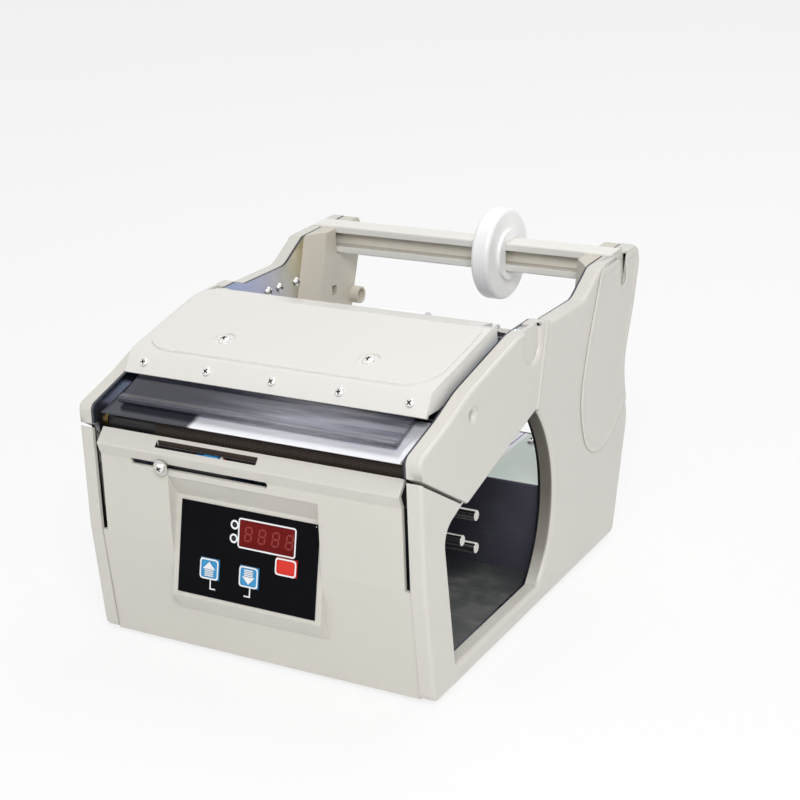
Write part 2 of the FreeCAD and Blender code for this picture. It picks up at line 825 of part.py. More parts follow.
panelBody = newBody("front_panel_shell")
pad(panelBody, "YZ_Plane", -panelHalf, band(panelLine, d.panelWall, 1.6), 2 * panelHalf)
upperSide = rectangle(d.kinkY - 10, d.panelStepZ, d.plateFrontY + 10, d.panelLedgeZ + 10)
pocket(panelBody, "YZ_Plane", panelHalf, upperSide, cell("panelNarrowing"))
pocket(panelBody, "YZ_Plane", -panelHalf, upperSide, cell("panelNarrowing"), True)
housingRoom = rectangle(d.bezelBottomY - 5, d.bezelFootZ + 0.5, d.panelFootY + 6, housingTop[1] - 0.5)
pocket(panelBody, "YZ_Plane", bezelRight, housingRoom, cell("bezelWidth"))
pad(panelBody, "YZ_Plane", bezelLeft, band(housingLine, d.panelWall, 1.0), cell("bezelWidth"))
cheekTop = face([(housingTop[0], housingTop[1]), (housingTop[0] + 1.5, housingTop[1] + 1),
                 (d.bezelTopY + 2.6, d.bezelTopZ + 1.4), (footY - 1, d.kinkZ - 14),
                 (d.panelKinkY + 0.4, d.kinkZ - 8), (d.panelKinkY + 0.3, d.kinkZ)])
cheekLow = face([(d.panelKinkY + 0.6, d.kinkZ - 9), (d.bezelBottomY, d.bezelBottomZ, 1.0),
                 (footY + 0.4, d.bezelFootZ), (footY + 2.6, d.bezelFootZ + 1.0),
                 (d.panelKinkY + 3.4, d.kinkZ - 9)])
for cheekX in (bezelLeft - 2.0, bezelRight):
    pad(panelBody, "YZ_Plane", cheekX, cheekTop, 2.0)
for cheekX in (bezelLeft, bezelRight - 2.0):
    pad(panelBody, "YZ_Plane", cheekX, cheekLow, 2.0)
pocket(panelBody, "XZ_Plane", -(d.kinkY - 6),
       rectangle(d.sensorSlotLeft, d.sensorSlotZ - d.sensorSlotHeight / 2,
                 d.sensorSlotLeft + d.sensorSlotLength, d.sensorSlotZ + d.sensorSlotHeight / 2, 1.0), 14)
pocket(panelBody, "XY_Plane", d.panelLedgeZ + 5,
       rectangle(d.sensorWindowLeft, d.panelRidgeY + 2.4, d.sensorWindowLeft + d.sensorWindowLength,
                 d.panelLedgeY - 1.6, 0.5), 15)


def onBezel(left, top, height, width=0, tall=0):
    """Placement on the sloping display face, from the membrane's top left corner.

    The piece's own origin is its lower left corner, x runs right, y up the
    face and z out of it."""
    right = d.bezelCentreX - membraneWidth / 2 + left - width / 2
    slope = math.radians(bezelRise)
    faceLength = math.hypot(d.bezelTopZ - d.bezelBottomZ, d.bezelTopY - d.bezelBottomY)
    margin = (faceLength - d.membraneHeight) / 2
    up = faceLength - margin - top - tall / 2
    y = d.bezelBottomY + up * math.cos(slope) - height * math.sin(slope)
    z = d.bezelBottomZ + up * math.sin(slope) + height * math.cos(slope)
    return Placement(Vector(right, y, z), Rotation(Vector(1, 0, 0), bezelRise))


def bezelBox(name, left, top, height, width, tall, thick):
    made = doc.addObject("Part::Box", name)
    made.Length = width
    made.Width = tall
    made.Height = thick
    made.Placement = onBezel(left, top, height, width, tall)
    return made


keyPlaces = {
    "key_up": (d.keyUpLeft, d.keyRowTop, d.keyWidth, d.keyHeight),
    "key_down": (d.keyDownLeft, d.keyRowTop, d.keyWidth, d.keyHeight),
    "key_reset": (d.resetLeft, d.resetTop, d.resetWidth, d.resetHeight),
}
windowPlace = (d.windowLeft + d.windowWidth / 2, d.windowTop + d.windowHeight / 2)
plungerSide = 5.0

bezelCuts = [bezelBox("WindowRoom", windowPlace[0], windowPlace[1], -6, d.windowWidth - 2,
                      d.windowHeight - 2, 12)]
for keyName, (left, top, width, tall) in keyPlaces.items():
    bezelCuts.append(bezelBox(keyName + "Room", left, top, -6, plungerSide + 0.6, plungerSide + 0.6, 12))
    bezelCuts.append(bezelBox(keyName + "Seat", left, top, -0.6, width + 0.6, tall + 0.6, 6))
bezelTool = joined("BezelCuts", bezelCuts)
frontPanel = doc.addObject("Part::Cut", "front_panel")
frontPanel.Base = panelBody
frontPanel.Tool = bezelTool
keep(frontPanel, "front_panel")

membraneBlank = doc.addObject("Part::Box", "MembraneBlank")
membraneBlank.setExpression("Length", cell("bezelWidth") + " - 2 * " + cell("membraneSideMargin"))
membraneBlank.setExpression("Width", cell("membraneHeight"))
membraneBlank.setExpression("Height", cell("membraneThickness"))
membraneBlank.Placement = onBezel(membraneWidth / 2, d.membraneHeight / 2, 0, membraneWidth,
                                  d.membraneHeight)
membraneCuts = [bezelBox("MembraneWindow", windowPlace[0], windowPlace[1], -2, d.windowWidth,
                         d.windowHeight, 5)]
for keyName, (left, top, width, tall) in keyPlaces.items():
    membraneCuts.append(bezelBox(keyName + "Cut", left, top, -2, width + 0.6, tall + 0.6, 5))
membraneTool = joined("MembraneCuts", membraneCuts)
membrane = doc.addObject("Part::Cut", "display_membrane")
membrane.Base = membraneBlank
membrane.Tool = membraneTool
keep(membrane, "display_membrane")

window = bezelBox("display_window", windowPlace[0], windowPlace[1], 0, d.windowWidth, d.windowHeight,
                  d.membraneThickness)
keep(window, "display_window")

boardTop = -d.panelWall - d.boardGap
digitBlock = bezelBox("digit_module", windowPlace[0], windowPlace[1], boardTop, d.windowWidth - 3,
                      d.windowHeight - 3, -boardTop - 0.4)
keep(digitBlock, "digit_module")

board = bezelBox("control_board", membraneWidth / 2, d.membraneHeight / 2, boardTop - d.boardThickness,
                 membraneWidth - 6, d.membraneHeight - 8, d.boardThickness)
keep(board, "control_board")

switches = []
keyFoot = -4.4
for keyName, (left, top, width, tall) in keyPlaces.items():
    cap = bezelBox(keyName + "Cap", left, top, 0, width, tall, d.keyProud)
    plunger = bezelBox(keyName + "Plunger", left, top, keyFoot, plungerSide, plungerSide, -keyFoot)
    keep(joined(keyName, [cap, plunger]), keyName)
    switches.append(bezelBox(keyName + "Switch", left, top, boardTop, 6, 6, keyFoot - 0.7 - boardTop))
boardParts = joined("board_switches", switches)
keep(boardParts, "board_switches")

postShapes = []
for left in (d.boardPostInset, membraneWidth - d.boardPostInset):
    for top in (d.boardPostInset, d.membraneHeight - d.boardPostInset):
        place = onBezel(left, top, boardTop)
        post = Part.makeCylinder(2.4, d.boardGap)
        post.Placement = place
        postShapes.append(post)
keepShape("board_posts", Part.makeCompound(postShapes))


# Label sensor on its carriage behind the lip

blockFrontY = d.panelLipY + d.panelWall + 0.5
blockRearY = blockFrontY + d.sensorBlockDepth
blockX = d.sensorScrewX - 8
blockTop = d.sensorSlotZ + d.sensorBlockHeight / 2
ceilingSlope = (housingTop[1] - d.bezelTopZ) / (d.bezelTopY - housingTop[0])
blockLowZ = d.sensorSlotZ - 2.0
block = newBody("sensor_block")
pad(block, "YZ_Plane", blockX,
    face([(blockFrontY, blockLowZ), (blockRearY, blockLowZ - d.sensorBlockDepth * ceilingSlope),
          (blockRearY, blockTop, 1.0), (blockFrontY, blockTop, 1.0)]), cell("sensorBlockLength"))
pocket(block, "XZ_Plane", -blockRearY - 1, disc(d.sensorScrewX, d.sensorSlotZ, 1.5 + d.shaftClearance),
       d.sensorBlockDepth + 2, True)
keep(block, "sensor_block")

headX = blockX + d.sensorBlockLength - d.sensorHeadLength - 8
head = newBody("sensor_head")
pad(head, "YZ_Plane", headX, rectangle(blockFrontY + 0.4, blockTop, blockRearY - 0.2, blockTop + 2.4, 0.5),
    cell("sensorHeadLength"))
keep(head, "sensor_head")

washerY = d.panelLipY - 1.5
washer = alongY(9.0, 0.8, d.sensorScrewX, washerY - 0.8, d.sensorSlotZ)
washer = washer.cut(alongY(3.4, 2, d.sensorScrewX, washerY - 1.4, d.sensorSlotZ))
keepShape("sensor_washer", washer)
keepShape("sensor_screw", domedScrew(6.0, 2.0, d.sensorBlockDepth + 4.2, d.sensorScrewX, washerY - 0.85,
                                     d.sensorSlotZ, Vector(0, -1, 0)))


# Peel plate and label deck

def peelZ(y):
    return d.peelFrontZ + (y - d.peelFrontY) * d.peelSlope


def deckZ(y):
    return peelZ(d.peelRearY) + 0.6 + (y - d.peelRearY) * d.deckSlope


peel = newBody("peel_plate")
pad(peel, "YZ_Plane", -peelHalf,
    band([(d.peelRearY + 6, peelZ(d.peelRearY)), (d.peelRearY, peelZ(d.peelRearY) - 0.6),
          (d.peelFrontY, d.peelFrontZ), (d.peelFrontY + 2.6, d.peelFrontZ - 1.6)],
         d.peelThickness, 1.0), 2 * peelHalf)
keep(peel, "peel_plate")

deck = newBody("label_deck")
deckLine = [(d.deckRearY, deckZ(d.deckRearY) - 14), (d.deckRearY, deckZ(d.deckRearY)),
            (d.peelRearY + 7, deckZ(d.peelRearY + 7)), (d.peelRearY + 7, deckZ(d.peelRearY) - 5)]
pad(deck, "YZ_Plane", -insideHalf, band(deckLine, d.deckThickness, 1.0), 2 * insideHalf)
keep(deck, "label_deck")


# Rollers

keep(tube("drive_roller", cell("driveRollerDiameter"), cell("driveShaftDiameter"),
          "%.4f" % (2 * rollerHalf), -rollerHalf, d.driveY, d.driveZ), "drive_roller")
shaftLeft = -(halfWidth - d.shieldRise - d.coverWall - d.runClearance)
driveShaftLength = coverInner - 0.1 - shaftLeft
keep(rod("drive_shaft", cell("driveShaftDiameter"), "%.4f" % driveShaftLength, shaftLeft, d.driveY,
         d.driveZ), "drive_shaft")
keep(tube("press_roller", cell("pressRollerDiameter"), cell("pressShaftDiameter"),
          "%.4f" % (2 * rollerHalf), -rollerHalf, d.driveY, pressZ), "press_roller")
keep(rod("press_shaft", cell("pressShaftDiameter"), "%.4f" % (2 * coverInner - 0.2), -coverInner + 0.1,
         d.driveY, pressZ), "press_shaft")


def bush(side, diameter, y, z):
    """Flanged plain bearing, pressed into the plate from the inside."""
    outside = diameter + 2 * d.bushWall
    bore = diameter + 2 * d.shaftClearance
    plateX = side * plateInner
    direction = Vector(side, 0, 0)
    shape = Part.makeCylinder(outside / 2, d.plateThickness, Vector(plateX, y, z), direction)
    flangeBase = Vector(plateX - side * d.bushFlange, y, z)
    shape = shape.fuse(Part.makeCylinder(outside / 2 + 1.4, d.bushFlange, flangeBase, direction))
    holeBase = Vector(plateX - side * (d.bushFlange + 1), y, z)
    return shape.cut(Part.makeCylinder(bore / 2, d.plateThickness + d.bushFlange + 2, holeBase, direction))


keepShape("roller_bushes", Part.makeCompound([bush(side, d.driveShaftDiameter, d.driveY, d.driveZ)
                                              for side in (-1, 1)]))
keepShape("takeup_bush", bush(-1, d.hubShaftDiameter, d.hubY, d.hubZ))


# Take-up hub with three pins

hubX = -plateInner + d.bushFlange + 0.4
hubFace = disc(d.hubY, d.hubZ, d.hubDiameter / 2)
pinPlaces = []
for turn in (54, 174, 294):
    angle = math.radians(turn)
    pinPlaces.append((d.hubY + d.pinCircle / 2 * math.cos(angle), d.hubZ + d.pinCircle / 2 * math.sin(angle)))
hub = newBody("takeup_hub")
pad(hub, "YZ_Plane", hubX, hubFace, cell("hubThickness"))
pad(hub, "YZ_Plane", hubX + d.hubThickness, disc(d.hubY, d.hubZ, 5.5), 3.0)
keep(hub, "takeup_hub")

pins = []
for number, (y, z) in enumerate(pinPlaces):
    pinStart = hubX + d.hubThickness
    pinLength = "%.4f" % (plateInner - d.pinEndGap - pinStart)
    pins.append(rod("Pin%d" % number, cell("pinDiameter"), pinLength, pinStart, y, z))
pinGroup = joined("takeup_pins", pins)
keep(pinGroup, "takeup_pins")

keep(rod("takeup_shaft", cell("hubShaftDiameter"), "%.4f" % (hubX - shaftLeft), shaftLeft, d.hubY, d.hubZ),
     "takeup_shaft")


# Motor, pulleys and belts

motorX = -plateInner + 0.2
motorCan = Part.makeCylinder(d.motorDiameter / 2, d.motorLength, Vector(motorX + 4, d.motorY, d.motorZ),
                             Vector(1, 0, 0))
motorNose = Part.makeCylinder(d.motorDiameter / 2 - 3, 4, Vector(motorX, d.motorY, d.motorZ),
                              Vector(1, 0, 0))
motorCap = Part.makeCylinder(d.motorDiameter / 2 - 1.5, 2.5,
                             Vector(motorX + 4 + d.motorLength, d.motorY, d.motorZ), Vector(1, 0, 0))
keepShape("drive_motor", motorCan.fuse(motorNose).fuse(motorCap))

pulleyWidth = d.beltWidth + 2 * (d.pulleyFlange + d.beltSideGap)
takeupPlane = -coverInner - d.runClearance
beltPlanes = {"takeup": takeupPlane, "drive": takeupPlane - pulleyWidth - d.beltSideGap}


def pulley(diameter, plane, y, z):
    """Grooved wheel between two thin flanges, hung to the left of the plane."""
    core = Part.makeCylinder(diameter / 2, pulleyWidth, Vector(plane, y, z), Vector(-1, 0, 0))
    for start in (plane, plane - pulleyWidth + d.pulleyFlange):
        flange = Part.makeCylinder(diameter / 2 + 1.2, d.pulleyFlange, Vector(start, y, z), Vector(-1, 0, 0))
        core = core.fuse(flange)
    return core


def bored(shape, diameter, y, z):
    return shape.cut(Part.makeCylinder(diameter / 2, 60, Vector(-halfWidth - 20, y, z), Vector(1, 0, 0)))


drivePulley = pulley(d.drivePulleyDiameter, beltPlanes["drive"], d.driveY, d.driveZ)
drivePulley = bored(drivePulley, d.driveShaftDiameter, d.driveY, d.driveZ)
keepShape("drive_pulley", drivePulley)
takeupPulley = pulley(d.takeupPulleyDiameter, beltPlanes["takeup"], d.hubY, d.hubZ)
keepShape("takeup_pulley", bored(takeupPulley, d.hubShaftDiameter, d.hubY, d.hubZ))
motorPulley = pulley(d.motorPulleyDiameter, beltPlanes["drive"], d.motorY, d.motorZ)
motorPulley = motorPulley.fuse(pulley(d.motorPulleyDiameter, beltPlanes["takeup"], d.motorY, d.motorZ))
motorNeck = Part.makeCylinder(d.motorPulleyDiameter / 2 - 1, motorX - 0.2 - beltPlanes["drive"],
                              Vector(beltPlanes["drive"], d.motorY, d.motorZ), Vector(1, 0, 0))
keepShape("motor_pulley", motorPulley.fuse(motorNeck).removeSplitter())


def belt(plane, first, second, firstDiameter, secondDiameter):
    """An endless flat belt round two pulleys, with a running gap to both."""
    gap = 0.15
    along = Vector(second[0] - first[0], second[1] - first[1], 0)
    heading = math.atan2(along.y, along.x)
    loops = []
    for extra in (gap + d.beltThickness, gap):
        near = firstDiameter / 2 + extra
        far = secondDiameter / 2 + extra
        lean = math.acos((near - far) / along.Length)

        def rimPoint(centre, radius, angle):
            return Vector(centre[0] + radius * math.cos(angle), centre[1] + radius * math.sin(angle), 0)

        nearArc = Part.Arc(rimPoint(first, near, heading + lean), rimPoint(first, near, heading + math.pi),
                           rimPoint(first, near, heading - lean))
        farArc = Part.Arc(rimPoint(second, far, heading - lean), rimPoint(second, far, heading),
                          rimPoint(second, far, heading + lean))
        runs = [Part.LineSegment(nearArc.toShape().Vertexes[-1].Point, farArc.toShape().Vertexes[0].Point),
                Part.LineSegment(farArc.toShape().Vertexes[-1].Point, nearArc.toShape().Vertexes[0].Point)]
        edges = [nearArc.toShape(), runs[0].toShape(), farArc.toShape(), runs[1].toShape()]
        loops.append(Part.Face(Part.Wire(edges)))
    ring = loops[0].cut(loops[1]).Faces[0]
    turnToYZ = Placement(Vector(plane - d.pulleyFlange - d.beltSideGap, 0, 0), Rotation(Vector(1, 1, 1), 120))
    ring.Placement = turnToYZ
    return ring.extrude(Vector(-d.beltWidth, 0, 0))


keepShape("drive_belt", belt(beltPlanes["drive"], (d.motorY, d.motorZ), (d.driveY, d.driveZ),
                             d.motorPulleyDiameter, d.drivePulleyDiameter))
keepShape("takeup_belt", belt(beltPlanes["takeup"], (d.motorY, d.motorZ), (d.hubY, d.hubZ),
                              d.motorPulleyDiameter, d.takeupPulleyDiameter))


# Tower liners, reel bar and disc

def towerLiner(name, side):
    """Moulded lining of the tower, with the slot that the reel bar drops into."""
    body = newBody(name + "Blank")
    outerFrontY = d.linerFrontY - d.linerChamfer
    tower = face([
        (outerFrontY - d.linerFrontLean, d.linerFloorZ, 0),
        (outerFrontY, d.towerTopZ, 4),
        (d.towerRearY - 0.6, d.towerTopZ, 4),
        (d.rearY - 1.4, d.rearZ, 10),
        (d.neckY - 1.4, d.neckZ, 30),
        (d.waistY + 4.5, d.linerFloorZ, 3),
    ])
    tower = tower.cut(barSlot())
    halfPocket = d.linerPocketSide / 2
    tower = tower.cut(rectangle(d.linerPocketY - halfPocket, d.linerPocketZ - halfPocket,
                                d.linerPocketY + halfPocket, d.linerPocketZ + halfPocket))
    start = "%d * (Sizes.overallWidth / 2 - Sizes.coverDepth - Sizes.plateThickness)" % side
    pad(body, "YZ_Plane", start, tower.Faces[0], cell("linerThickness"), side > 0)
    bossX = side * (plateInner - d.linerThickness)
    ring = disc(d.linerBossY, d.linerBossZ, d.linerBossDiameter / 2)
    ring = ring.cut(disc(d.linerBossY, d.linerBossZ, d.linerBossBore / 2))
    pad(body, "YZ_Plane", bossX, ring, cell("linerBossLength"), side > 0)

    # the front face slants back from the cover towards the roll
    lowY = outerFrontY - d.linerFrontLean
    spots = [(side * plateInner, lowY), (bossX, lowY + d.linerChamfer),
             (bossX - side, lowY - d.linerChamfer), (side * plateInner, lowY - d.linerChamfer)]
    corners = [Vector(x, y, d.linerFloorZ) for x, y in spots]
    wedge = Part.Face(Part.makePolygon(corners + corners[:1]))
    wedgeTool = doc.addObject("Part::Feature", name + "Wedge")
    wedgeTool.Shape = wedge.extrude(Vector(0, d.linerFrontLean, d.towerTopZ - d.linerFloorZ))
    lined = doc.addObject("Part::Cut", name)
    lined.Base = body
    lined.Tool = wedgeTool
    return keep(lined, name)


towerLiner("left_tower_liner", -1)
towerLiner("right_tower_liner", 1)

barHalf = coverInner + d.barEndReach
barFront = d.barY - d.barDepth / 2
barRear = d.barY + d.barDepth / 2
barTop = d.barBottomZ + d.barHeight
webFront = d.barY - d.barWeb / 2
webRear = d.barY + d.barWeb / 2
barShape = rectangle(barFront, d.barBottomZ, barRear, barTop, 1.2)
frontRoom = rectangle(barFront - 5, d.barBottomZ + d.barFlange, webFront, barTop - d.barFlange)
rearRoom = rectangle(webRear, d.barBottomZ + d.barFlange, barRear + 5, barTop - d.barFlange)
barShape = barShape.cut(frontRoom).cut(rearRoom)
bar = newBody("reel_bar")
pad(bar, "YZ_Plane", -barHalf, barShape.Faces[0], 2 * barHalf)
keep(bar, "reel_bar")

discBody = newBody("reel_disc")
barMiddleZ = d.barBottomZ + d.barHeight / 2
discRoom = rectangle(barFront - d.runClearance, d.barBottomZ - d.runClearance,
                     barRear + d.runClearance, barTop + d.runClearance)
discX = d.discX - d.discThickness / 2
pad(discBody, "YZ_Plane", discX, disc(d.barY, barMiddleZ, d.discDiameter / 2).cut(discRoom),
    cell("discThickness"))
doc.recompute()
discPad = discBody.Tip
discEdges = ["Edge%d" % (i + 1) for i, edge in enumerate(discPad.Shape.Edges)
             if isinstance(edge.Curve, Part.Circle) and edge.Curve.Radius > d.discDiameter / 2 - 0.1]
discRounding = discBody.newObject("PartDesign::Fillet", "DiscRounding")
discRounding.Base = (discPad, discEdges)
discRounding.Radius = 2.6
doc.recompute()
hubRing = disc(d.barY, barMiddleZ, 15.5).cut(discRoom)
pad(discBody, "YZ_Plane", discX + d.discThickness, hubRing, 2.0)
keep(discBody, "reel_disc")

keep(rod("guide_shaft", cell("guideShaftDiameter"), "%.4f" % (2 * coverInner - 0.2), -coverInner + 0.1,
         d.guideY, d.guideZ), "guide_shaft")
keep(tube("guide_collar", cell("collarDiameter"), cell("guideShaftDiameter") + " + 2 * "
          + cell("shaftClearance"), cell("collarLength"), d.collarX - d.collarLength / 2, d.guideY,
          d.guideZ), "guide_collar")


# Hinge

nutOuter = coverInner + d.hingeNutLength
keep(rod("hinge_shaft", cell("hingeShaftDiameter"), "%.4f" % (2 * nutOuter + 0.4), -nutOuter - 0.2,
         d.hingeY, d.hingeZ), "hinge_shaft")
nuts = []
for side in (-1, 1):
    corners = []
    for i in range(7):
        angle = math.radians(60 * i + 30)
        reach = d.hingeNutFlats / 2 / math.cos(math.pi / 6)
        corners.append(Vector(side * coverInner, d.hingeY + reach * math.sin(angle),
                              d.hingeZ + reach * math.cos(angle)))
    nut = Part.Face(Part.makePolygon(corners)).extrude(Vector(side * d.hingeNutLength, 0, 0))
    shaftBase = Vector(side * (coverInner - 1), d.hingeY, d.hingeZ)
    nuts.append(nut.cut(Part.makeCylinder(d.hingeShaftDiameter / 2, 10, shaftBase, Vector(side, 0, 0))))
keepShape("hinge_nuts", Part.makeCompound(nuts))


# Top cover, hinged at the rear

lidLine = [(d.lidRearY, d.lidRearZ), (d.lidCrestY, d.lidCrestZ), (d.lidBrowY, d.lidBrowZ),
           (d.lidLipY, d.lidLipZ)]
lid = newBody("top_cover")
pad(lid, "YZ_Plane", -lidHalf, band(lidLine, d.lidWall, 4.0), 2 * lidHalf)
rimFace = face([
    (d.hingeY + 4.4, d.hingeZ - 3.6, 4.0),
    (d.hingeY + 4.4, d.hingeZ + 4.4, 4.0),
    (d.lidRearY + 0.6, d.lidRearZ - 0.4, 2),
    (d.lidCrestY, d.lidCrestZ - 0.6, 4),
    (d.lidBrowY, d.lidBrowZ - 0.6, 3),
    (d.lidLipY + 1.6, d.lidLipZ + 1.0, 0),
    (d.lidLipY + 4.0, d.lidLipZ + 0.4, 0),
    (d.lidBrowY + 6, deckZ(d.lidBrowY + 6) + 4.0, 4),
    (d.hingeY - 12, deckZ(d.hingeY - 12) + 3.0, 4),
    (d.hingeY - 4.4, d.hingeZ - 4.2, 2),
])
rimFace = rimFace.cut(disc(d.hingeY, d.hingeZ, d.hingeShaftDiameter / 2 + d.shaftClearance))
for rimX in (-lidHalf, lidHalf - d.lidRim):
    pad(lid, "YZ_Plane", rimX, rimFace, cell("lidRim"))
lidSlope = math.atan2(d.lidCrestZ - d.lidBrowZ, d.lidCrestY - d.lidBrowY)

panelBack = d.lidCrestY - 2
panelFront = d.lidBrowY + 2.4
panelSide = lidHalf - d.lidPanelMargin
plateau = face([(-panelSide, panelFront, d.lidPanelCorner), (panelSide, panelFront, d.lidPanelCorner),
                (panelSide, panelBack, 3), (-panelSide, panelBack, 3)])
plateauSolid = plateau.extrude(Vector(0, 0, 60))
plateauSolid.translate(Vector(0, 0, d.lidBrowZ - 20))
layerLine = [(d.lidCrestY, d.lidCrestZ), (d.lidBrowY, d.lidBrowZ)]
layerFace = band(layerLine, -d.lidPanelRise, 0)
layerFace = layerFace.fuse(band(layerLine, 0.6, 0)).removeSplitter().Faces[0]
layerFace.Placement = Placement(Vector(-lidHalf, 0, 0), Rotation(Vector(1, 1, 1), 120))
layer = layerFace.extrude(Vector(2 * lidHalf, 0, 0)).common(plateauSolid)
raisedPanel = doc.addObject("Part::Feature", "RaisedPanel")
raisedPanel.Shape = layer

topNormal = Vector(0, -math.sin(lidSlope), math.cos(lidSlope))


def lidTopZ(y):
    return d.lidBrowZ + (y - d.lidBrowY) * math.tan(lidSlope) + d.lidPanelRise / math.cos(lidSlope)


dimples = []
for side in (-1, 1):
    dimple = Part.makeCylinder(6.4, 3.0, Vector(0, 0, -0.8))
    spot = Vector(side * d.lidPlateScrewX, d.lidPlateScrewY, lidTopZ(d.lidPlateScrewY))
    dimple.Placement = Placement(spot, Rotation(Vector(0, 0, 1), topNormal))
    dimples.append(dimple)

stripNormal = Vector(0, -(d.lidBrowZ - d.lidLipZ), d.lidBrowY - d.lidLipY)
stripNormal.normalize()
stripMiddle = Vector(0, (d.lidBrowY + d.lidLipY) / 2, (d.lidBrowZ + d.lidLipZ) / 2)
guardScrewSpots = [stripMiddle + Vector(number * d.lidScrewPitch, 0, 0) for number in range(-2, 3)]
guardShank = d.lidWall + d.guardThickness
coverScrewSpots = [Vector(side * d.lidPlateScrewX, d.lidPlateScrewY, lidTopZ(d.lidPlateScrewY))
                   - topNormal * 0.8 for side in (-1, 1)]
coverShank = d.lidWall + d.coverPlateThickness


def screwHoles(spots, headDiameter, normal):
    """Clearance holes for the shanks, centred on their seats."""
    holes = []
    for spot in spots:
        hole = Part.makeCylinder(headDiameter / 4 + 0.1, 12, Vector(0, 0, -8))
        hole.Placement = Placement(spot, Rotation(Vector(0, 0, 1), normal))
        holes.append(hole)
    return holes


guardHoles = screwHoles(guardScrewSpots, d.lidScrewDiameter, stripNormal)
coverHoles = screwHoles(coverScrewSpots, d.coverScrewDiameter, topNormal)
dimpleTool = doc.addObject("Part::Feature", "Dimples")
dimpleTool.Shape = Part.makeCompound(dimples + guardHoles + coverHoles)
lidJoined = joined("LidJoined", [lid, raisedPanel])
lidCut = doc.addObject("Part::Cut", "top_cover")
lidCut.Base = lidJoined
lidCut.Tool = dimpleTool
keep(lidCut, "top_cover")

guardScrews = [domedScrew(d.lidScrewDiameter, 1.3, guardShank, spot.x, spot.y, spot.z, stripNormal)
               for spot in guardScrewSpots]
keepShape("guard_screws", Part.makeCompound(guardScrews))
coverScrews = [domedScrew(d.coverScrewDiameter, 1.8, coverShank, spot.x, spot.y, spot.z, topNormal)
               for spot in coverScrewSpots]
keepShape("cover_screws", Part.makeCompound(coverScrews))

stiffLine = parallelLine(lidLine[1:3], d.lidWall + 0.02)
stiffStart = stiffLine[0] + (stiffLine[1] - stiffLine[0]) * 0.08
stiffEnd = stiffLine[0] + (stiffLine[1] - stiffLine[0]) * 0.88
stiffener = newBody("CoverPlateBlank")
pad(stiffener, "YZ_Plane", -lidHalf + 4, band([(stiffStart.x, stiffStart.y), (stiffEnd.x, stiffEnd.y)],
                                                     d.coverPlateThickness, 0),
    2 * (lidHalf - 4))
coverHoleTool = doc.addObject("Part::Feature", "CoverHoles")
coverHoleTool.Shape = Part.makeCompound(coverHoles)
coverPlate = doc.addObject("Part::Cut", "cover_plate")
coverPlate.Base = stiffener
coverPlate.Tool = coverHoleTool
keep(coverPlate, "cover_plate")

guardBack = parallelLine(lidLine[2:], d.lidWall + 0.02)
guardTop = guardBack[0] + (guardBack[1] - guardBack[0]) * 0.2
guardBend = guardBack[0] + (guardBack[1] - guardBack[0]) * 1.04
guard = newBody("GuardBlank")
guardLine = [(guardTop.x, guardTop.y), (guardBend.x, guardBend.y), (d.guardLipY + 1, d.guardLipZ + 0.6)]
pad(guard, "YZ_Plane", -guardHalf, band(guardLine, d.guardThickness, 1.4),
    2 * guardHalf)
guardRoll = face([(d.guardLipY - 1.2, d.guardLipZ - 1.8, 1.4), (d.guardLipY + 4.6, d.guardLipZ - 0.4, 0.8),
                  (d.guardLipY + 4.6, d.guardLipZ + 2.4, 0.8), (d.guardLipY - 1.2, d.guardLipZ + 2.2, 1.6)])
pad(guard, "YZ_Plane", -guardHalf, guardRoll, 2 * guardHalf)
guardHoleTool = doc.addObject("Part::Feature", "GuardHoles")
guardHoleTool.Shape = Part.makeCompound(guardHoles)
clearGuard = doc.addObject("Part::Cut", "clear_guard")
clearGuard.Base = guard
clearGuard.Tool = guardHoleTool
keep(clearGuard, "clear_guard")


# Feet and small screws

feet = []
for x in (-halfWidth + d.coverDepth + d.footInsetX, halfWidth - d.coverDepth - d.footInsetX):
    for y in (d.plateFrontY + 10, d.rearPanelY - 12):
        radius = d.footDiameter / 2
        feet.append(turned([(0, 0), (radius - 1, 0), (radius, d.footHeight), (0, d.footHeight)],
                           x, y, 0, Vector(0, 0, 1)))
keepShape("rubber_feet", Part.makeCompound(feet))

plateScrews = []
for side in (-1, 1):
    for y, z in plateScrewPlaces:
        plateScrews.append(domedScrew(d.plateScrewDiameter, 2.0, d.plateThickness, side * plateInner, y, z,
                                      Vector(-side, 0, 0)))
keepShape("plate_screws", Part.makeCompound(plateScrews))
noseScrews = []
for side in (-1, 1):
    seat = side * (halfWidth - d.shieldRise - d.noseScrewSink)
    noseScrews.append(domedScrew(d.noseScrewDiameter, 1.6, abs(seat) - plateInner - 0.2, seat, noseScrew[0],
                                 noseScrew[1], Vector(side, 0, 0)))
keepShape("nose_screws", Part.makeCompound(noseScrews))


# Checks and files

doc.recompute()
for made in doc.Objects:
    if "Invalid" in made.State or "Error" in made.State:
        raise RuntimeError("%s failed: %s" % (made.Label, made.State))
for name, made in nodes.items():
    shape = made.Shape
    if shape.isNull() or not shape.isValid() or not shape.Solids:
        raise RuntimeError("%s has no valid solid" % name)
    shape.exportStep(os.path.join("parts", name + ".step"))
    box = shape.BoundBox
    print("%-20s solids %d  volume %10.1f  x %7.1f %7.1f  y %7.1f %7.1f  z %7.1f %7.1f" % (
        name, len(shape.Solids), shape.Volume, box.XMin, box.XMax, box.YMin, box.YMax, box.ZMin, box.ZMax))
print(len(nodes), "nodes")
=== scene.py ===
import json
import math
import bpy
import bmesh
from mathutils import Matrix, Vector


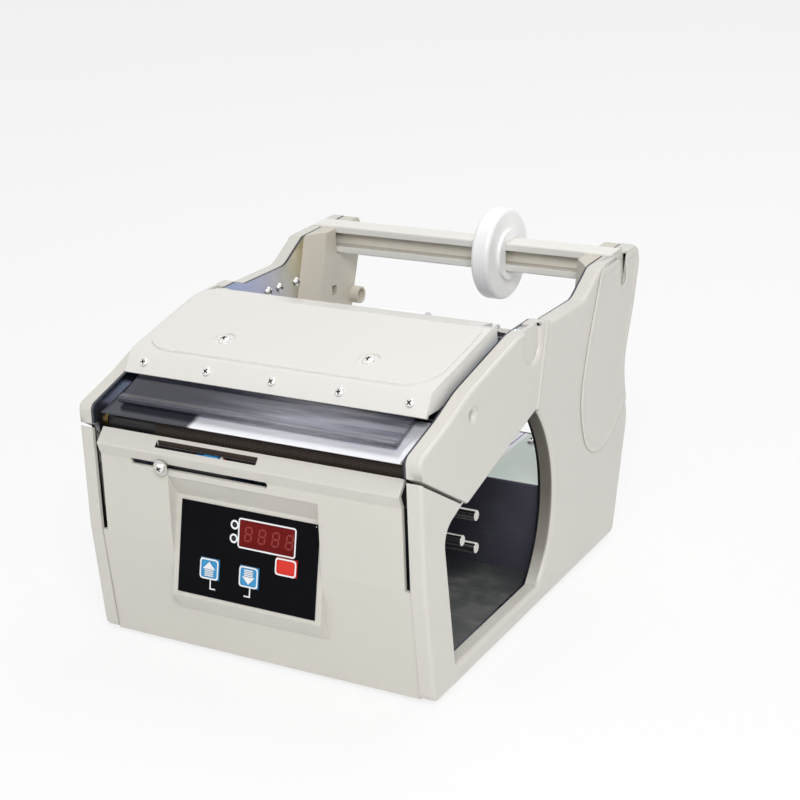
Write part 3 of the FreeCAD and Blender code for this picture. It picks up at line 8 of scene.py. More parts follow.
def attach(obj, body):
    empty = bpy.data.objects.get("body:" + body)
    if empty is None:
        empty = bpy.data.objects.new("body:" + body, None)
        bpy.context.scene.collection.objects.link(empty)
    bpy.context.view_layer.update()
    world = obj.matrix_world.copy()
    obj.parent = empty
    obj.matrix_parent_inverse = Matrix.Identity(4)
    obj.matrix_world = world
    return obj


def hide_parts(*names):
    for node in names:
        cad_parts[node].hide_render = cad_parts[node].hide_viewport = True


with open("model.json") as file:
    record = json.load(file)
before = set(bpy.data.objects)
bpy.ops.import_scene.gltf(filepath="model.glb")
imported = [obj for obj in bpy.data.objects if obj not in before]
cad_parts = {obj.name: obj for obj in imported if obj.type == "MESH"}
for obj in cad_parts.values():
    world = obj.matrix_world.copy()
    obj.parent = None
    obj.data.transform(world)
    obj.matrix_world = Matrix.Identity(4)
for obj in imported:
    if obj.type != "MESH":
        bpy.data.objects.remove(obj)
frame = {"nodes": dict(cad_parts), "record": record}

mm = 0.001
scene = bpy.context.scene
cad = frame["nodes"]
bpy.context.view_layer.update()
print("frame loaded:", len(cad), "nodes")


# the camera comes first
cameraPlace = {"azimuth": 30.909, "elevation": 21.068, "roll": -3.409, "distance": 1064.558,
               "target": (17.762, -0.128, 110.582), "lens": 83.218, "shiftX": 0.0, "shiftY": 0.0}


def placeCamera(place):
    azimuth, elevation, roll = (math.radians(place[word]) for word in ("azimuth", "elevation", "roll"))
    back = Vector((math.sin(azimuth) * math.cos(elevation), -math.cos(azimuth) * math.cos(elevation),
                   math.sin(elevation)))
    right = Vector((math.cos(azimuth), math.sin(azimuth), 0))
    up = back.cross(right)
    turned = Matrix((right * math.cos(roll) + up * math.sin(roll),
                     up * math.cos(roll) - right * math.sin(roll), back)).transposed()
    data = bpy.data.cameras.new("productCamera")
    data.sensor_width = 36
    data.lens = place["lens"]
    data.shift_x = place["shiftX"]
    data.shift_y = place["shiftY"]
    data.clip_start = 0.02
    camera = bpy.data.objects.new("productCamera", data)
    spot = (Vector(place["target"]) + back * place["distance"]) * mm
    camera.matrix_world = Matrix.Translation(spot) @ turned.to_4x4()
    scene.collection.objects.link(camera)
    scene.camera = camera


placeCamera(cameraPlace)


# finishes
def srgb(red, green, blue):
    def one(value):
        value /= 255
        return value / 12.92 if value <= 0.04045 else ((value + 0.055) / 1.055) ** 2.4
    return (one(red), one(green), one(blue), 1.0)


def newFinish(name, color, roughness, **sockets):
    made = bpy.data.materials.new(name)
    made.use_nodes = True
    shader = made.node_tree.nodes["Principled BSDF"]
    shader.inputs["Base Color"].default_value = color
    shader.inputs["Roughness"].default_value = roughness
    for word, value in sockets.items():
        shader.inputs[word.replace("_", " ")].default_value = value
    return made


def node(material, kind, inputs=None, **settings):
    made = material.node_tree.nodes.new("ShaderNode" + kind)
    for word, value in settings.items():
        setattr(made, word, value)
    for word, value in (inputs or {}).items():
        put(material, value, made.inputs[word])
    return made


def put(material, value, socket):
    if isinstance(value, bpy.types.NodeSocket):
        material.node_tree.links.new(value, socket)
    else:
        socket.default_value = value


def shaderOf(material):
    return material.node_tree.nodes["Principled BSDF"]


def place(material, stretch=(1, 1, 1)):
    coordinates = node(material, "TexCoord").outputs["Object"]
    if stretch == (1, 1, 1):
        return coordinates
    return node(material, "Mapping", {"Vector": coordinates, "Scale": stretch}).outputs["Vector"]


def noise(material, scale, detail=3.0, roughness=0.5, stretch=(1, 1, 1), distortion=0.0):
    return node(material, "TexNoise", {"Vector": place(material, stretch), "Scale": scale, "Detail": detail,
                                       "Roughness": roughness, "Distortion": distortion}).outputs["Fac"]


def ramp(material, value, stops):
    made = node(material, "ValToRGB", {"Fac": value})
    ends = made.color_ramp.elements
    ends[0].position, ends[0].color = stops[0]
    ends[1].position, ends[1].color = stops[-1]
    for position, color in stops[1:-1]:
        ends.new(position).color = color
    return made.outputs["Color"]


def math2(material, operation, first, second=0.5, clamp=False):
    made = node(material, "Math", operation=operation, use_clamp=clamp)
    put(material, first, made.inputs[0])
    put(material, second, made.inputs[1])
    return made.outputs[0]


def between(material, value, low, high, fromLow=0.0, fromHigh=1.0, smooth=False):
    return node(material, "MapRange", {"Value": value, "From Min": fromLow, "From Max": fromHigh,
                                       "To Min": low, "To Max": high},
                interpolation_type="SMOOTHSTEP" if smooth else "LINEAR").outputs["Result"]


def mixed(material, factor, first, second, blend="MIX"):
    made = node(material, "Mix", data_type="RGBA", blend_type=blend)
    put(material, factor, made.inputs[0])
    put(material, first, made.inputs[6])
    put(material, second, made.inputs[7])
    return made.outputs[2]


def bumped(material, height, strength, distance, under=None):
    made = node(material, "Bump", {"Height": height, "Strength": strength, "Distance": distance * mm})
    if under:
        put(material, under, made.inputs["Normal"])
    return made.outputs["Normal"]


def shade(color, amount):
    return tuple(min(1.0, part * amount) for part in color[:3]) + (1.0,)


def mouldedPlastic(name, color, roughness, grainScale=900, grainDepth=0.02, cloud=0.01, coat=0.0, dust=0.05):
    made = newFinish(name, color, roughness, IOR=1.49, Coat_Weight=coat, Coat_Roughness=0.12)
    shader = shaderOf(made)
    clouds = noise(made, 15, 2)
    color = ramp(made, clouds, [(0.3, shade(color, 1 - cloud)), (0.5, color), (0.72, shade(color, 1 + cloud))])
    specks = ramp(made, noise(made, 640, 2), [(0.66, (1, 1, 1, 1)), (0.86, (0.9, 0.88, 0.84, 1))])
    put(made, mixed(made, dust, color, specks, "MULTIPLY"), shader.inputs["Base Color"])
    put(made, bumped(made, noise(made, grainScale, 1, 0.5), 0.1, grainDepth), shader.inputs["Normal"])
    return made


def brushedMetal(name, color, roughness, stretch=(1, 1, 1), streak=0.12, scale=500, wave=0.0):
    made = newFinish(name, color, roughness, Metallic=1.0)
    shader = shaderOf(made)
    lines = noise(made, scale, 3, 0.6, stretch)
    stain = noise(made, 35, 4, 0.6)
    put(made, ramp(made, stain, [(0.3, shade(color, 0.86)), (0.7, shade(color, 1.05))]),
        shader.inputs["Base Color"])
    put(made, between(made, lines, max(0.03, roughness - streak), roughness + streak, 0.3, 0.7),
        shader.inputs["Roughness"])
    put(made, bumped(made, lines, 0.15, 0.02 + wave), shader.inputs["Normal"])
    return made


finish = {}
finish["side_cover_plastic"] = mouldedPlastic("sideCoverPlastic", srgb(214, 211, 204), 0.26)
finish["front_plastic"] = mouldedPlastic("frontPlastic", srgb(213, 210, 202), 0.29)
finish["lid_plastic"] = mouldedPlastic("lidPlastic", srgb(229, 227, 222), 0.24)
finish["liner_plastic"] = mouldedPlastic("linerPlastic", srgb(206, 200, 186), 0.34)
finish["nylon"] = mouldedPlastic("nylon", srgb(254, 254, 254), 0.33, 700, 0.03, 0.004, dust=0.02)
# heights of the reel bar's web, which is painted darker as shade, with darker lines along its edges
barShadeBands = {"lowTo": 162.1, "webTo": 170.9, "blur": 0.7}


def barFinishWithShade(part):
    made = mouldedPlastic("barPaintAndShade", srgb(226, 223, 214), 0.33, 1200, 0.015)
    shader = shaderOf(made)
    height = node(made, "SeparateXYZ", {"Vector": place(made)}).outputs["Z"]
    # painted shade: the web between lowTo and webTo is darker, and darkest in lines along its top and bottom edges
    low = between(made, height, 0, 1, (part["lowTo"] - 0.1) * mm, (part["lowTo"] + 0.1) * mm)
    up = between(made, height, 1, 0, (part["webTo"] - 0.1) * mm, (part["webTo"] + 0.1) * mm)
    webShadeMask = math2(made, "MULTIPLY", low, up)
    rise = math2(made, "MINIMUM", math2(made, "SUBTRACT", height, part["lowTo"] * mm),
                 math2(made, "SUBTRACT", part["webTo"] * mm, height))
    webShadeTone = mixed(made, between(made, rise, 0, 1, 0, part["blur"] * mm), srgb(156, 149, 136), srgb(222, 217, 205))
    put(made, mixed(made, webShadeMask, srgb(236, 234, 228), webShadeTone), shader.inputs["Base Color"])
    return made


finish["bar_aluminium"] = barFinishWithShade(barShadeBands)
finish["black_plastic"] = mouldedPlastic("blackPlastic", srgb(26, 26, 28), 0.42, 1000, 0.03, 0.12)
finish["foot_rubber"] = mouldedPlastic("footRubber", srgb(30, 29, 28), 0.72, 900, 0.05, 0.2)
finish["belt_rubber"] = mouldedPlastic("beltRubber", srgb(24, 24, 24), 0.66, 900, 0.05, 0.2)
finish["silicone"] = mouldedPlastic("pressSilicone", srgb(60, 58, 57), 0.55, 800, 0.04, 0.1)
finish["sensor_blue"] = mouldedPlastic("sensorBlue", srgb(66, 166, 236), 0.34, 1200, 0.01)
finish["key_blue"] = mouldedPlastic("keyBlue", srgb(52, 150, 206), 0.42, 1400, 0.008, 0.02)
finish["key_red"] = mouldedPlastic("keyRed", srgb(218, 40, 20), 0.42, 1400, 0.008, 0.02)
finish["membrane"] = mouldedPlastic("membraneFilm", srgb(9, 9, 13), 0.5, 1100, 0.02, 0.1)
finish["membrane"].node_tree.nodes["Principled BSDF"].inputs["Specular IOR Level"].default_value = 0.05
finish["board_green"] = mouldedPlastic("boardGreen", srgb(24, 92, 52), 0.38, 700, 0.02, 0.15)

finish["polished_steel"] = brushedMetal("polishedSteel", srgb(214, 214, 216), 0.12, (1, 1, 1), 0.05)
finish["screw_chrome"] = brushedMetal("screwChrome", srgb(232, 231, 229), 0.3, (1, 1, 1), 0.05)
finish["bright_steel"] = brushedMetal("brightSteel", srgb(206, 204, 200), 0.16, (1, 1, 1), 0.06)
finish["base_steel"] = brushedMetal("baseSteel", srgb(158, 160, 162), 0.36, (0.08, 1, 1), 0.10)
finish["brass_bush"] = brushedMetal("brassBush", srgb(190, 158, 92), 0.28, (1, 1, 1), 0.08)


plateFilm = {"from": -60.0, "to": 160.0}


def platedFinish():
    made = newFinish("platedSteel", srgb(180, 180, 190), 0.28, Metallic=1.0)
    shader = shaderOf(made)
    parts = node(made, "SeparateXYZ", {"Vector": place(made)}).outputs
    sway = math2(made, "MULTIPLY", noise(made, 22, 3, 0.55, distortion=0.8), 22 * mm)
    run = math2(made, "ADD", math2(made, "ADD", parts["Y"], math2(made, "MULTIPLY", parts["Z"], 0.4)), sway)
    film = ramp(made, between(made, run, 0, 1, plateFilm["from"] * mm, plateFilm["to"] * mm),
                [(0.0, srgb(120, 126, 150)), (0.45, srgb(110, 150, 196)), (0.62, srgb(150, 164, 206)),
                 (0.78, srgb(166, 168, 188)), (0.9, srgb(176, 172, 156)), (1.0, srgb(196, 184, 140))])
    # painted shade: faces that don't face sideways are darkened to a dull grey
    turned = node(made, "SeparateXYZ", {"Vector": node(made, "NewGeometry").outputs["True Normal"]}).outputs["X"]
    face = between(made, math2(made, "ABSOLUTE", turned), 0, 1, 0.3, 0.6)
    film = mixed(made, 0.8, srgb(186, 188, 192), film)
    put(made, mixed(made, face, srgb(84, 84, 92), film), shader.inputs["Base Color"])
    put(made, between(made, noise(made, 90, 5, 0.6), 0.22, 0.4, 0.3, 0.7), shader.inputs["Roughness"])
    put(made, bumped(made, noise(made, 500, 3, 0.6, (1, 0.1, 1)), 0.1, 0.02), shader.inputs["Normal"])
    return made


def sheetFinish(name, color, roughness, scuff, amount, metallic):
    made = newFinish(name, color, roughness, Metallic=metallic)
    shader = shaderOf(made)
    clouds = noise(made, 28, 6, 0.62, distortion=0.6)
    rubs = noise(made, 240, 4, 0.7, (0.12, 1, 1))
    worn = math2(made, "MULTIPLY", between(made, clouds, 0, 1, 0.46, 0.74), between(made, rubs, 0.3, 1, 0.4, 0.65))
    worn = math2(made, "MULTIPLY", worn, amount, True)
    put(made, mixed(made, worn, color, scuff), shader.inputs["Base Color"])
    put(made, between(made, clouds, roughness - 0.08, roughness + 0.16, 0.3, 0.7), shader.inputs["Roughness"])
    put(made, bumped(made, noise(made, 1300, 2), 0.3, 0.02), shader.inputs["Normal"])
    return made


def knurlFinish():
    made = newFinish("knurledRubber", srgb(46, 40, 36), 0.5, Specular_IOR_Level=0.25)
    shader = shaderOf(made)
    parts = node(made, "SeparateXYZ", {"Vector": place(made)}).outputs
    angle = math2(made, "ARCTAN2", math2(made, "SUBTRACT", parts["Z"], rollerKnurl["axisZ"] * mm),
                  math2(made, "SUBTRACT", parts["Y"], rollerKnurl["axisY"] * mm))
    around = math2(made, "MULTIPLY", angle, rollerKnurl["teeth"])
    along = math2(made, "MULTIPLY", parts["X"], 2 * math.pi / (rollerKnurl["pitch"] * mm))
    one = math2(made, "SINE", math2(made, "ADD", around, along))
    other = math2(made, "SINE", math2(made, "SUBTRACT", around, along))
    weave = between(made, math2(made, "MULTIPLY", one, other), 0, 1, -1, 1)
    inside = math2(made, "GREATER_THAN", parts["X"], rollerKnurl["plainEndX"] * mm)
    weave = math2(made, "MULTIPLY", weave, inside)
    # painted shade and highlight: the knurl's valleys are coloured near black and its ridges light brown
    color = ramp(made, weave, [(0.1, srgb(8, 6, 6)), (0.5, srgb(30, 23, 19)), (0.9, srgb(92, 78, 66))])
    put(made, mixed(made, inside, srgb(30, 30, 32), color), shader.inputs["Base Color"])
    put(made, between(made, inside, 0.3, 0.55), shader.inputs["Roughness"])
    put(made, bumped(made, weave, 0.8, rollerKnurl["depth"]), shader.inputs["Normal"])
    return made


rollerKnurl = {"axisY": -118.0, "axisZ": 126.5, "teeth": 26, "pitch": 1.9, "depth": 0.3, "plainEndX": -62.0}
finish["plated_steel"] = platedFinish()
finish["dark_sheet"] = sheetFinish("darkSheet", srgb(78, 77, 90), 0.42, srgb(112, 112, 126), 0.35, 0.0)
finish["floor_sheet"] = sheetFinish("floorSheet", srgb(74, 76, 76), 0.36, srgb(150, 150, 146), 0.6, 0.0)
finish["roller_rubber"] = knurlFinish()


def clearFinish():
    made = newFinish("clearAcrylic", srgb(168, 170, 192), 0.06, Transmission_Weight=0.82, IOR=1.49)
    shader = shaderOf(made)
    parts = node(made, "SeparateXYZ", {"Vector": place(made)}).outputs
    streaks = noise(made, 150, 4, 0.6, (0.05, 1, 1))
    rightward = between(made, parts["X"], 0, 1, guardStreakHighlight["from"] * mm, guardStreakHighlight["to"] * mm, True)
    # painted highlight: pale streaks in the acrylic's colour, stronger towards the right
    streakHighlight = math2(made, "MULTIPLY", between(made, streaks, 0, 1, 0.42, 0.62), rightward)
    put(made, mixed(made, streakHighlight, srgb(92, 94, 116), srgb(226, 226, 234)), shader.inputs["Base Color"])
    put(made, between(made, streaks, 0.03, 0.14, 0.45, 0.75), shader.inputs["Roughness"])
    put(made, bumped(made, noise(made, 60, 2, stretch=(0.1, 1, 1)), 0.1, 0.05), shader.inputs["Normal"])
    return made


# where the guard's painted highlight streaks fade in, from left to right
guardStreakHighlight = {"from": -70.0, "to": 20.0}


def mirrorWithPaintedReflection(part):
    made = newFinish("peelMirrorPaintedReflection", srgb(238, 239, 243), 0.16, Metallic=0.35)
    shader = shaderOf(made)
    parts = node(made, "SeparateXYZ", {"Vector": place(made)}).outputs
    sway = math2(made, "MULTIPLY_ADD", noise(made, 70, 2), 3 * mm)
    made.node_tree.nodes[-1].inputs[2].default_value = -1.5 * mm
    run = math2(made, "ADD", parts["X"], sway)
    # painted reflection: dark to the left of darkTo and white to the right, along a wavy line
    white = between(made, run, 0, 1, (part["darkTo"] - part["blur"]) * mm, (part["darkTo"] + part["blur"]) * mm, True)
    color = mixed(made, white, srgb(58, 60, 68), srgb(240, 241, 246))
    put(made, color, shader.inputs["Base Color"])
    put(made, between(made, noise(made, 220, 3, stretch=(0.05, 1, 1)), 0.12, 0.24, 0.35, 0.7), shader.inputs["Roughness"])
    put(made, bumped(made, noise(made, 400, 2, stretch=(0.05, 1, 1)), 0.08, 0.02), shader.inputs["Normal"])
    return made


def paleSheetFinish(part):
    made = newFinish("palePlatedSheet", srgb(206, 214, 208), 0.3, Metallic=0.4)
    shader = shaderOf(made)
    parts = node(made, "SeparateXYZ", {"Vector": place(made)}).outputs
    film = ramp(made, noise(made, 22, 3, 0.55), [(0.3, srgb(196, 212, 204)), (0.5, srgb(208, 216, 206)),
                                                 (0.7, srgb(200, 214, 222))])
    pale = between(made, parts["X"], 0, 1, part["whiteTo"] * mm, (part["whiteTo"] + 3) * mm, True)
    film = mixed(made, pale, srgb(236, 237, 244), film)
    near = math2(made, "ABSOLUTE", math2(made, "SUBTRACT", parts["X"], part["lineX"] * mm))
    line = between(made, near, 0, 1, part["lineWidth"] * mm, part["lineWidth"] * 1.5 * mm)
    put(made, mixed(made, line, srgb(112, 96, 156), film), shader.inputs["Base Color"])
    put(made, between(made, noise(made, 90, 4), 0.29, 0.34, 0.2, 0.8), shader.inputs["Roughness"])
    put(made, bumped(made, noise(made, 500, 3), 0.08, 0.02), shader.inputs["Normal"])
    return made


# where the peel plate's painted reflection turns from dark to white
peelReflectionBand = {"darkTo": -35.5, "blur": 2.0}
paleSheet = {"whiteTo": 54.0, "lineX": 52.4, "lineWidth": 0.35}


def filterFinish():
    made = newFinish("redFilter", srgb(98, 24, 24), 0.4, Specular_IOR_Level=0.06)
    shader = shaderOf(made)
    put(made, ramp(made, noise(made, 90, 3), [(0.3, srgb(98, 20, 20)), (0.7, srgb(112, 27, 26))]),
        shader.inputs["Base Color"])
    put(made, bumped(made, noise(made, 1500, 2), 0.15, 0.01), shader.inputs["Normal"])
    return made


finish["clear_plastic"] = clearFinish()
peelMirrorPaintedReflection = mirrorWithPaintedReflection(peelReflectionBand)
palePlated = paleSheetFinish(paleSheet)
slotShade = mouldedPlastic("slotShade", srgb(44, 32, 26), 0.6, 1200, 0.01, 0.1)
beadWhite = mouldedPlastic("beadWhite", srgb(228, 230, 232), 0.3, 1200, 0.01)
beadRed = mouldedPlastic("beadRed", srgb(196, 30, 26), 0.35, 1200, 0.01)
finish["red_filter"] = filterFinish()
printWhite = mouldedPlastic("printWhite", srgb(240, 242, 244), 0.4, 1400, 0.006, 0.02)
digitRed = mouldedPlastic("digitRed", srgb(134, 40, 36), 0.6, 1400, 0.006, 0.05)
print("finishes:", len(finish))


# every CAD node gets the finish of its slot
slotOf = {row["node"]: row["material_slot"] for row in frame["record"]["subparts"]}
for nodeName, item in cad.items():
    item.data.materials.clear()
    item.data.materials.append(finish[slotOf[nodeName]])
bodyOf = {nodeName: body for body, names in frame["record"]["behaviour"]["bodies"].items() for nodeName in names}


# heights where the door's inner walls go from light to dark: painted shade
doorWallShade = {"darkFrom": 62.0, "lightTo": 14.0}


def doorWallShadeFinish(part):
    made = mouldedPlastic("doorWallPaintedShade", srgb(206, 203, 196), 0.32)
    height = node(made, "SeparateXYZ", {"Vector": place(made)}).outputs["Z"]
    # painted shade: the inner walls are light near the bottom and darker higher up
    rise = between(made, height, 0, 1, part["lightTo"] * mm, part["darkFrom"] * mm)
    put(made, ramp(made, rise, [(0.0, srgb(208, 205, 197)), (0.35, srgb(150, 146, 137)), (1.0, srgb(118, 113, 105))]),
        shaderOf(made).inputs["Base Color"])
    return made


doorWallPaintedShade = doorWallShadeFinish(doorWallShade)


# helpers for pieces
def plainMesh(piece):
    bpy.context.view_layer.update()
    graph = bpy.context.evaluated_depsgraph_get()
    mesh = bpy.data.meshes.new_from_object(piece.evaluated_get(graph))
    piece.modifiers.clear()
    piece.data = mesh
    return piece


def addPiece(name, mesh, body, slot, material=None, replaced=()):
    piece = bpy.data.objects.new(name, mesh)
    scene.collection.objects.link(piece)
    if material or not mesh.materials:
        mesh.materials.clear()
        mesh.materials.append(material or finish[slot])
    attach(piece, body)
    if replaced:
        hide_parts(*replaced)
    return piece


def smooth(mesh, angle=32):
    mesh.polygons.foreach_set("use_smooth", [True] * len(mesh.polygons))
    mesh.set_sharp_from_angle(angle=math.radians(angle))


def welded(nodeName):
    shape = bmesh.new()
    shape.from_mesh(cad[nodeName].data)
    bmesh.ops.remove_doubles(shape, verts=shape.verts, dist=0.002 * mm)
    bmesh.ops.dissolve_degenerate(shape, edges=shape.edges, dist=0.002 * mm)
    return shape


def flatMerged(nodeName):
    shape = welded(nodeName)
    bmesh.ops.dissolve_limit(shape, angle_limit=math.radians(0.6), verts=shape.verts, edges=shape.edges)
    return shape


def standIn(nodeName, newName, shape, smoothAngle=32, evened=True):
    mesh = bpy.data.meshes.new(newName)
    shape.to_mesh(mesh)
    shape.free()
    smooth(mesh, smoothAngle)
    mesh.materials.append(cad[nodeName].data.materials[0])
    piece = bpy.data.objects.new(newName, mesh)
    scene.collection.objects.link(piece)
    if evened:
        normals = piece.modifiers.new("normals", "WEIGHTED_NORMAL")
        normals.keep_sharp = True
        plainMesh(piece)
    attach(piece, bodyOf[nodeName])
    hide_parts(nodeName)
    return piece


def runsOf(edges, bend=None):
    runs = []
    left = set(edges)
    while left:
        run = [left.pop()]
        for edge in run:
            for vert in edge.verts:
                for other in [near for near in vert.link_edges if near in left]:
                    turn = (vert.co - edge.other_vert(vert).co).angle(other.other_vert(vert).co - vert.co, math.pi)
                    if bend is None or turn < math.radians(bend):
                        run.append(other)
                        left.discard(other)
        runs.append(run)
    return runs


def roundEdges(shape, width, chosen, segments=3, bend=None, clamp=True):
    tag = shape.edges.layers.int.new("run")
    runs = runsOf([edge for edge in shape.edges if edge.is_manifold and chosen(edge)], bend)
    for number, run in enumerate(runs, 1):
        for edge in run:
            edge[tag] = number
    for number in range(1, len(runs) + 1):
        edges = [edge for edge in shape.edges if edge[tag] == number]
        bmesh.ops.bevel(shape, geom=edges, offset=width * mm, offset_type="OFFSET", segments=segments, profile=0.5,
                        affect="EDGES", clamp_overlap=clamp, miter_outer="ARC", loop_slide=True)
        for edge in shape.edges:
            if edge[tag] == number:
                edge[tag] = 0
    shape.edges.layers.int.remove(tag)


def sharp(edge, angle=50):
    return edge.is_convex and edge.calc_face_angle(0) > math.radians(angle)


# small mouldings: the sharp outer edges a little rounded, where the table gives a width
softEdges = {"left_tower_liner": ("towerLiningLeft", 0.6), "right_tower_liner": ("towerLiningRight", 0.6),
             "reel_bar": ("reelBar", 0.4), "guide_collar": ("guideCollar", 0.5), "drive_roller": ("driveRoller", 0.3),
             "press_roller": ("pressRoller", 0.3), "takeup_pins": ("windingPins", 0.4), "clear_guard": ("clearGuard", 0.5),
             "rubber_feet": ("feet", 0.3), "peel_plate": ("peelPlate", 0.0), "front_panel": ("frontMoulding", 0.6),
             "reel_disc": ("reelDisc", 0.0)}
for nodeName, (newName, width) in softEdges.items():
    shape = flatMerged(nodeName)
    if width:
        roundEdges(shape, width, lambda edge: sharp(edge, 40), 2, 35)
    standIn(nodeName, newName, shape)
bpy.data.objects["peelPlate"].data.materials[0] = peelMirrorPaintedReflection


# faces inside an opening, between two corners, take a second finish that paints shade on them
def shadeWalls(piece, material, low, high, turned):
    piece.data.materials.append(material)
    for face in piece.data.polygons:
        spot = face.center / mm
        if all(low[axis] < spot[axis] < high[axis] for axis in range(3)) and turned(face.normal):
            face.material_index = 1


# the walls inside the ledge slot are painted dark brown as shade
ledgeSlot = {"low": (-57.3, -133.9, 112.0), "high": (8.3, -130.1, 125.0)}
shadeWalls(bpy.data.objects["frontMoulding"], slotShade, ledgeSlot["low"], ledgeSlot["high"],
           lambda normal: abs(normal.x) > 0.9 or abs(normal.y) > 0.95)
print("mouldings softened:", len(softEdges))


# the side covers: outer face, raised field and the beads that follow their edges
sideCover = {"door": ((96.0, -96.0, 4.0), (107.0, 50.0, 118.0)), "outerX": 107.2, "fieldX": 108.0, "edge": 2.6, "slitEdge": 1.1, "slit": (-100.0, 104.0), "fieldEdge": 0.75,
             "band": {"width": 4.2, "rise": 0.55, "level": 107.75},
             "rim": {"width": 1.7, "rise": 0.55, "level": 107.95},
             "crease": {"width": 3.2, "rise": 0.75, "level": 107.05},
             "creaseLine": ((13.0, 165.6), (9.3, 154.0), (5.2, 142.0), (0.9, 130.0), (-3.0, 119.0))}


def onPlane(face, side, level):
    return face.normal.x * side > 0.99 and abs(face.calc_center_median().x * side - level * mm) < 0.02 * mm


def edgeRun(shape, side, level):
    found = [edge for edge in shape.edges if edge.is_manifold and sharp(edge)
             and any(onPlane(face, side, level) for face in edge.link_faces)]
    return [[tuple(vert.co.copy() for vert in edge.verts) for edge in run] for run in runsOf(found)]


# a Geometry Nodes tree takes its inputs through this
def treeInput(tree, name, kind, value):
    socket = tree.interface.new_socket(name, in_out="INPUT", socket_type=kind)
    if value is not None:
        socket.default_value = value
    return socket.identifier


def link(tree, source, target):
    tree.links.new(source, target)


def beadTree():
    tree = bpy.data.node_groups.new("edgeBead", "GeometryNodeTree")
    tree.interface.new_socket("Geometry", in_out="INPUT", socket_type="NodeSocketGeometry")
    tree.interface.new_socket("Geometry", in_out="OUTPUT", socket_type="NodeSocketGeometry")
    names = {"width": treeInput(tree, "Bead width", "NodeSocketFloat", 3 * mm),
             "rise": treeInput(tree, "Bead rise", "NodeSocketFloat", 0.6 * mm),
             "level": treeInput(tree, "Bead level", "NodeSocketFloat", 107 * mm),
             "finish": treeInput(tree, "Finish", "NodeSocketMaterial", None)}
    new = tree.nodes.new
    start = new("NodeGroupInput")
    end = new("NodeGroupOutput")

    def value(operation, first, second, third=None):
        made = new("ShaderNodeMath")
        made.operation = operation
        for number, part in enumerate((first, second, third)):
            if isinstance(part, (int, float)):
                made.inputs[number].default_value = part
            elif part is not None:
                link(tree, part, made.inputs[number])
        return made.outputs[0]

    line = new("GeometryNodeMeshToCurve")
    link(tree, start.outputs["Geometry"], line.inputs["Mesh"])
    even = new("GeometryNodeResampleCurve")
    even.mode = "LENGTH"
    even.inputs["Length"].default_value = 1.2 * mm
    link(tree, line.outputs["Curve"], even.inputs["Curve"])
    ring = new("GeometryNodeCurvePrimitiveCircle")
    ring.inputs["Resolution"].default_value = 16
    link(tree, value("MULTIPLY", start.outputs["Bead width"], 0.5), ring.inputs["Radius"])
    tube = new("GeometryNodeCurveToMesh")
    tube.inputs["Fill Caps"].default_value = True
    link(tree, even.outputs["Curve"], tube.inputs["Curve"])
    link(tree, ring.outputs["Curve"], tube.inputs["Profile Curve"])
    spot = new("ShaderNodeSeparateXYZ")
    link(tree, new("GeometryNodeInputPosition").outputs["Position"], spot.inputs[0])
    side = value("SIGN", spot.outputs["X"], 0)
    away = value("SUBTRACT", value("MULTIPLY", spot.outputs["X"], side), start.outputs["Bead level"])
    half = value("MULTIPLY", start.outputs["Bead width"], 0.5)
    pressed = value("MULTIPLY", value("DIVIDE", away, half), value("MULTIPLY", start.outputs["Bead rise"], 1.35))
    flat = value("MAXIMUM", value("MINIMUM", pressed, start.outputs["Bead rise"]),
                 value("MULTIPLY", start.outputs["Bead rise"], -1))
    back = new("ShaderNodeCombineXYZ")
    link(tree, value("MULTIPLY", value("ADD", flat, start.outputs["Bead level"]), side), back.inputs["X"])
    link(tree, spot.outputs["Y"], back.inputs["Y"])
    link(tree, spot.outputs["Z"], back.inputs["Z"])
    settled = new("GeometryNodeSetPosition")
    link(tree, tube.outputs["Mesh"], settled.inputs["Geometry"])
    link(tree, back.outputs[0], settled.inputs["Position"])
    real = new("GeometryNodeRealizeInstances")
    link(tree, settled.outputs["Geometry"], real.inputs["Geometry"])
    painted = new("GeometryNodeSetMaterial")
    link(tree, real.outputs["Geometry"], painted.inputs["Geometry"])
    link(tree, start.outputs["Finish"], painted.inputs["Material"])
    link(tree, painted.outputs["Geometry"], end.inputs["Geometry"])
    return tree, names


def bead(name, points, edges, part, body, slot):
    mesh = bpy.data.meshes.new(name)
    mesh.from_pydata(points, edges, [])
    piece = bpy.data.objects.new(name, mesh)
    scene.collection.objects.link(piece)
    modifier = piece.modifiers.new("bead", "NODES")
    modifier.node_group = edgeBead
    for word in ("width", "rise", "level"):
        modifier[beadInputs[word]] = part[word] * mm
    modifier[beadInputs["finish"]] = finish[slot]
    plainMesh(piece)
    smooth(piece.data, 60)
    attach(piece, body)
    return piece


def alongRun(run, level, side):
    points, numbers, edges = [], {}, []
    for pair in run:
        ends = []
        for point in pair:
            key = (round(point.y / mm, 3), round(point.z / mm, 3))
            if key not in numbers:
                numbers[key] = len(points)
                points.append((side * level * mm, point.y, point.z))
            ends.append(numbers[key])
        if ends[0] != ends[1]:
            edges.append(tuple(ends))
    return points, edges


edgeBead, beadInputs = beadTree()


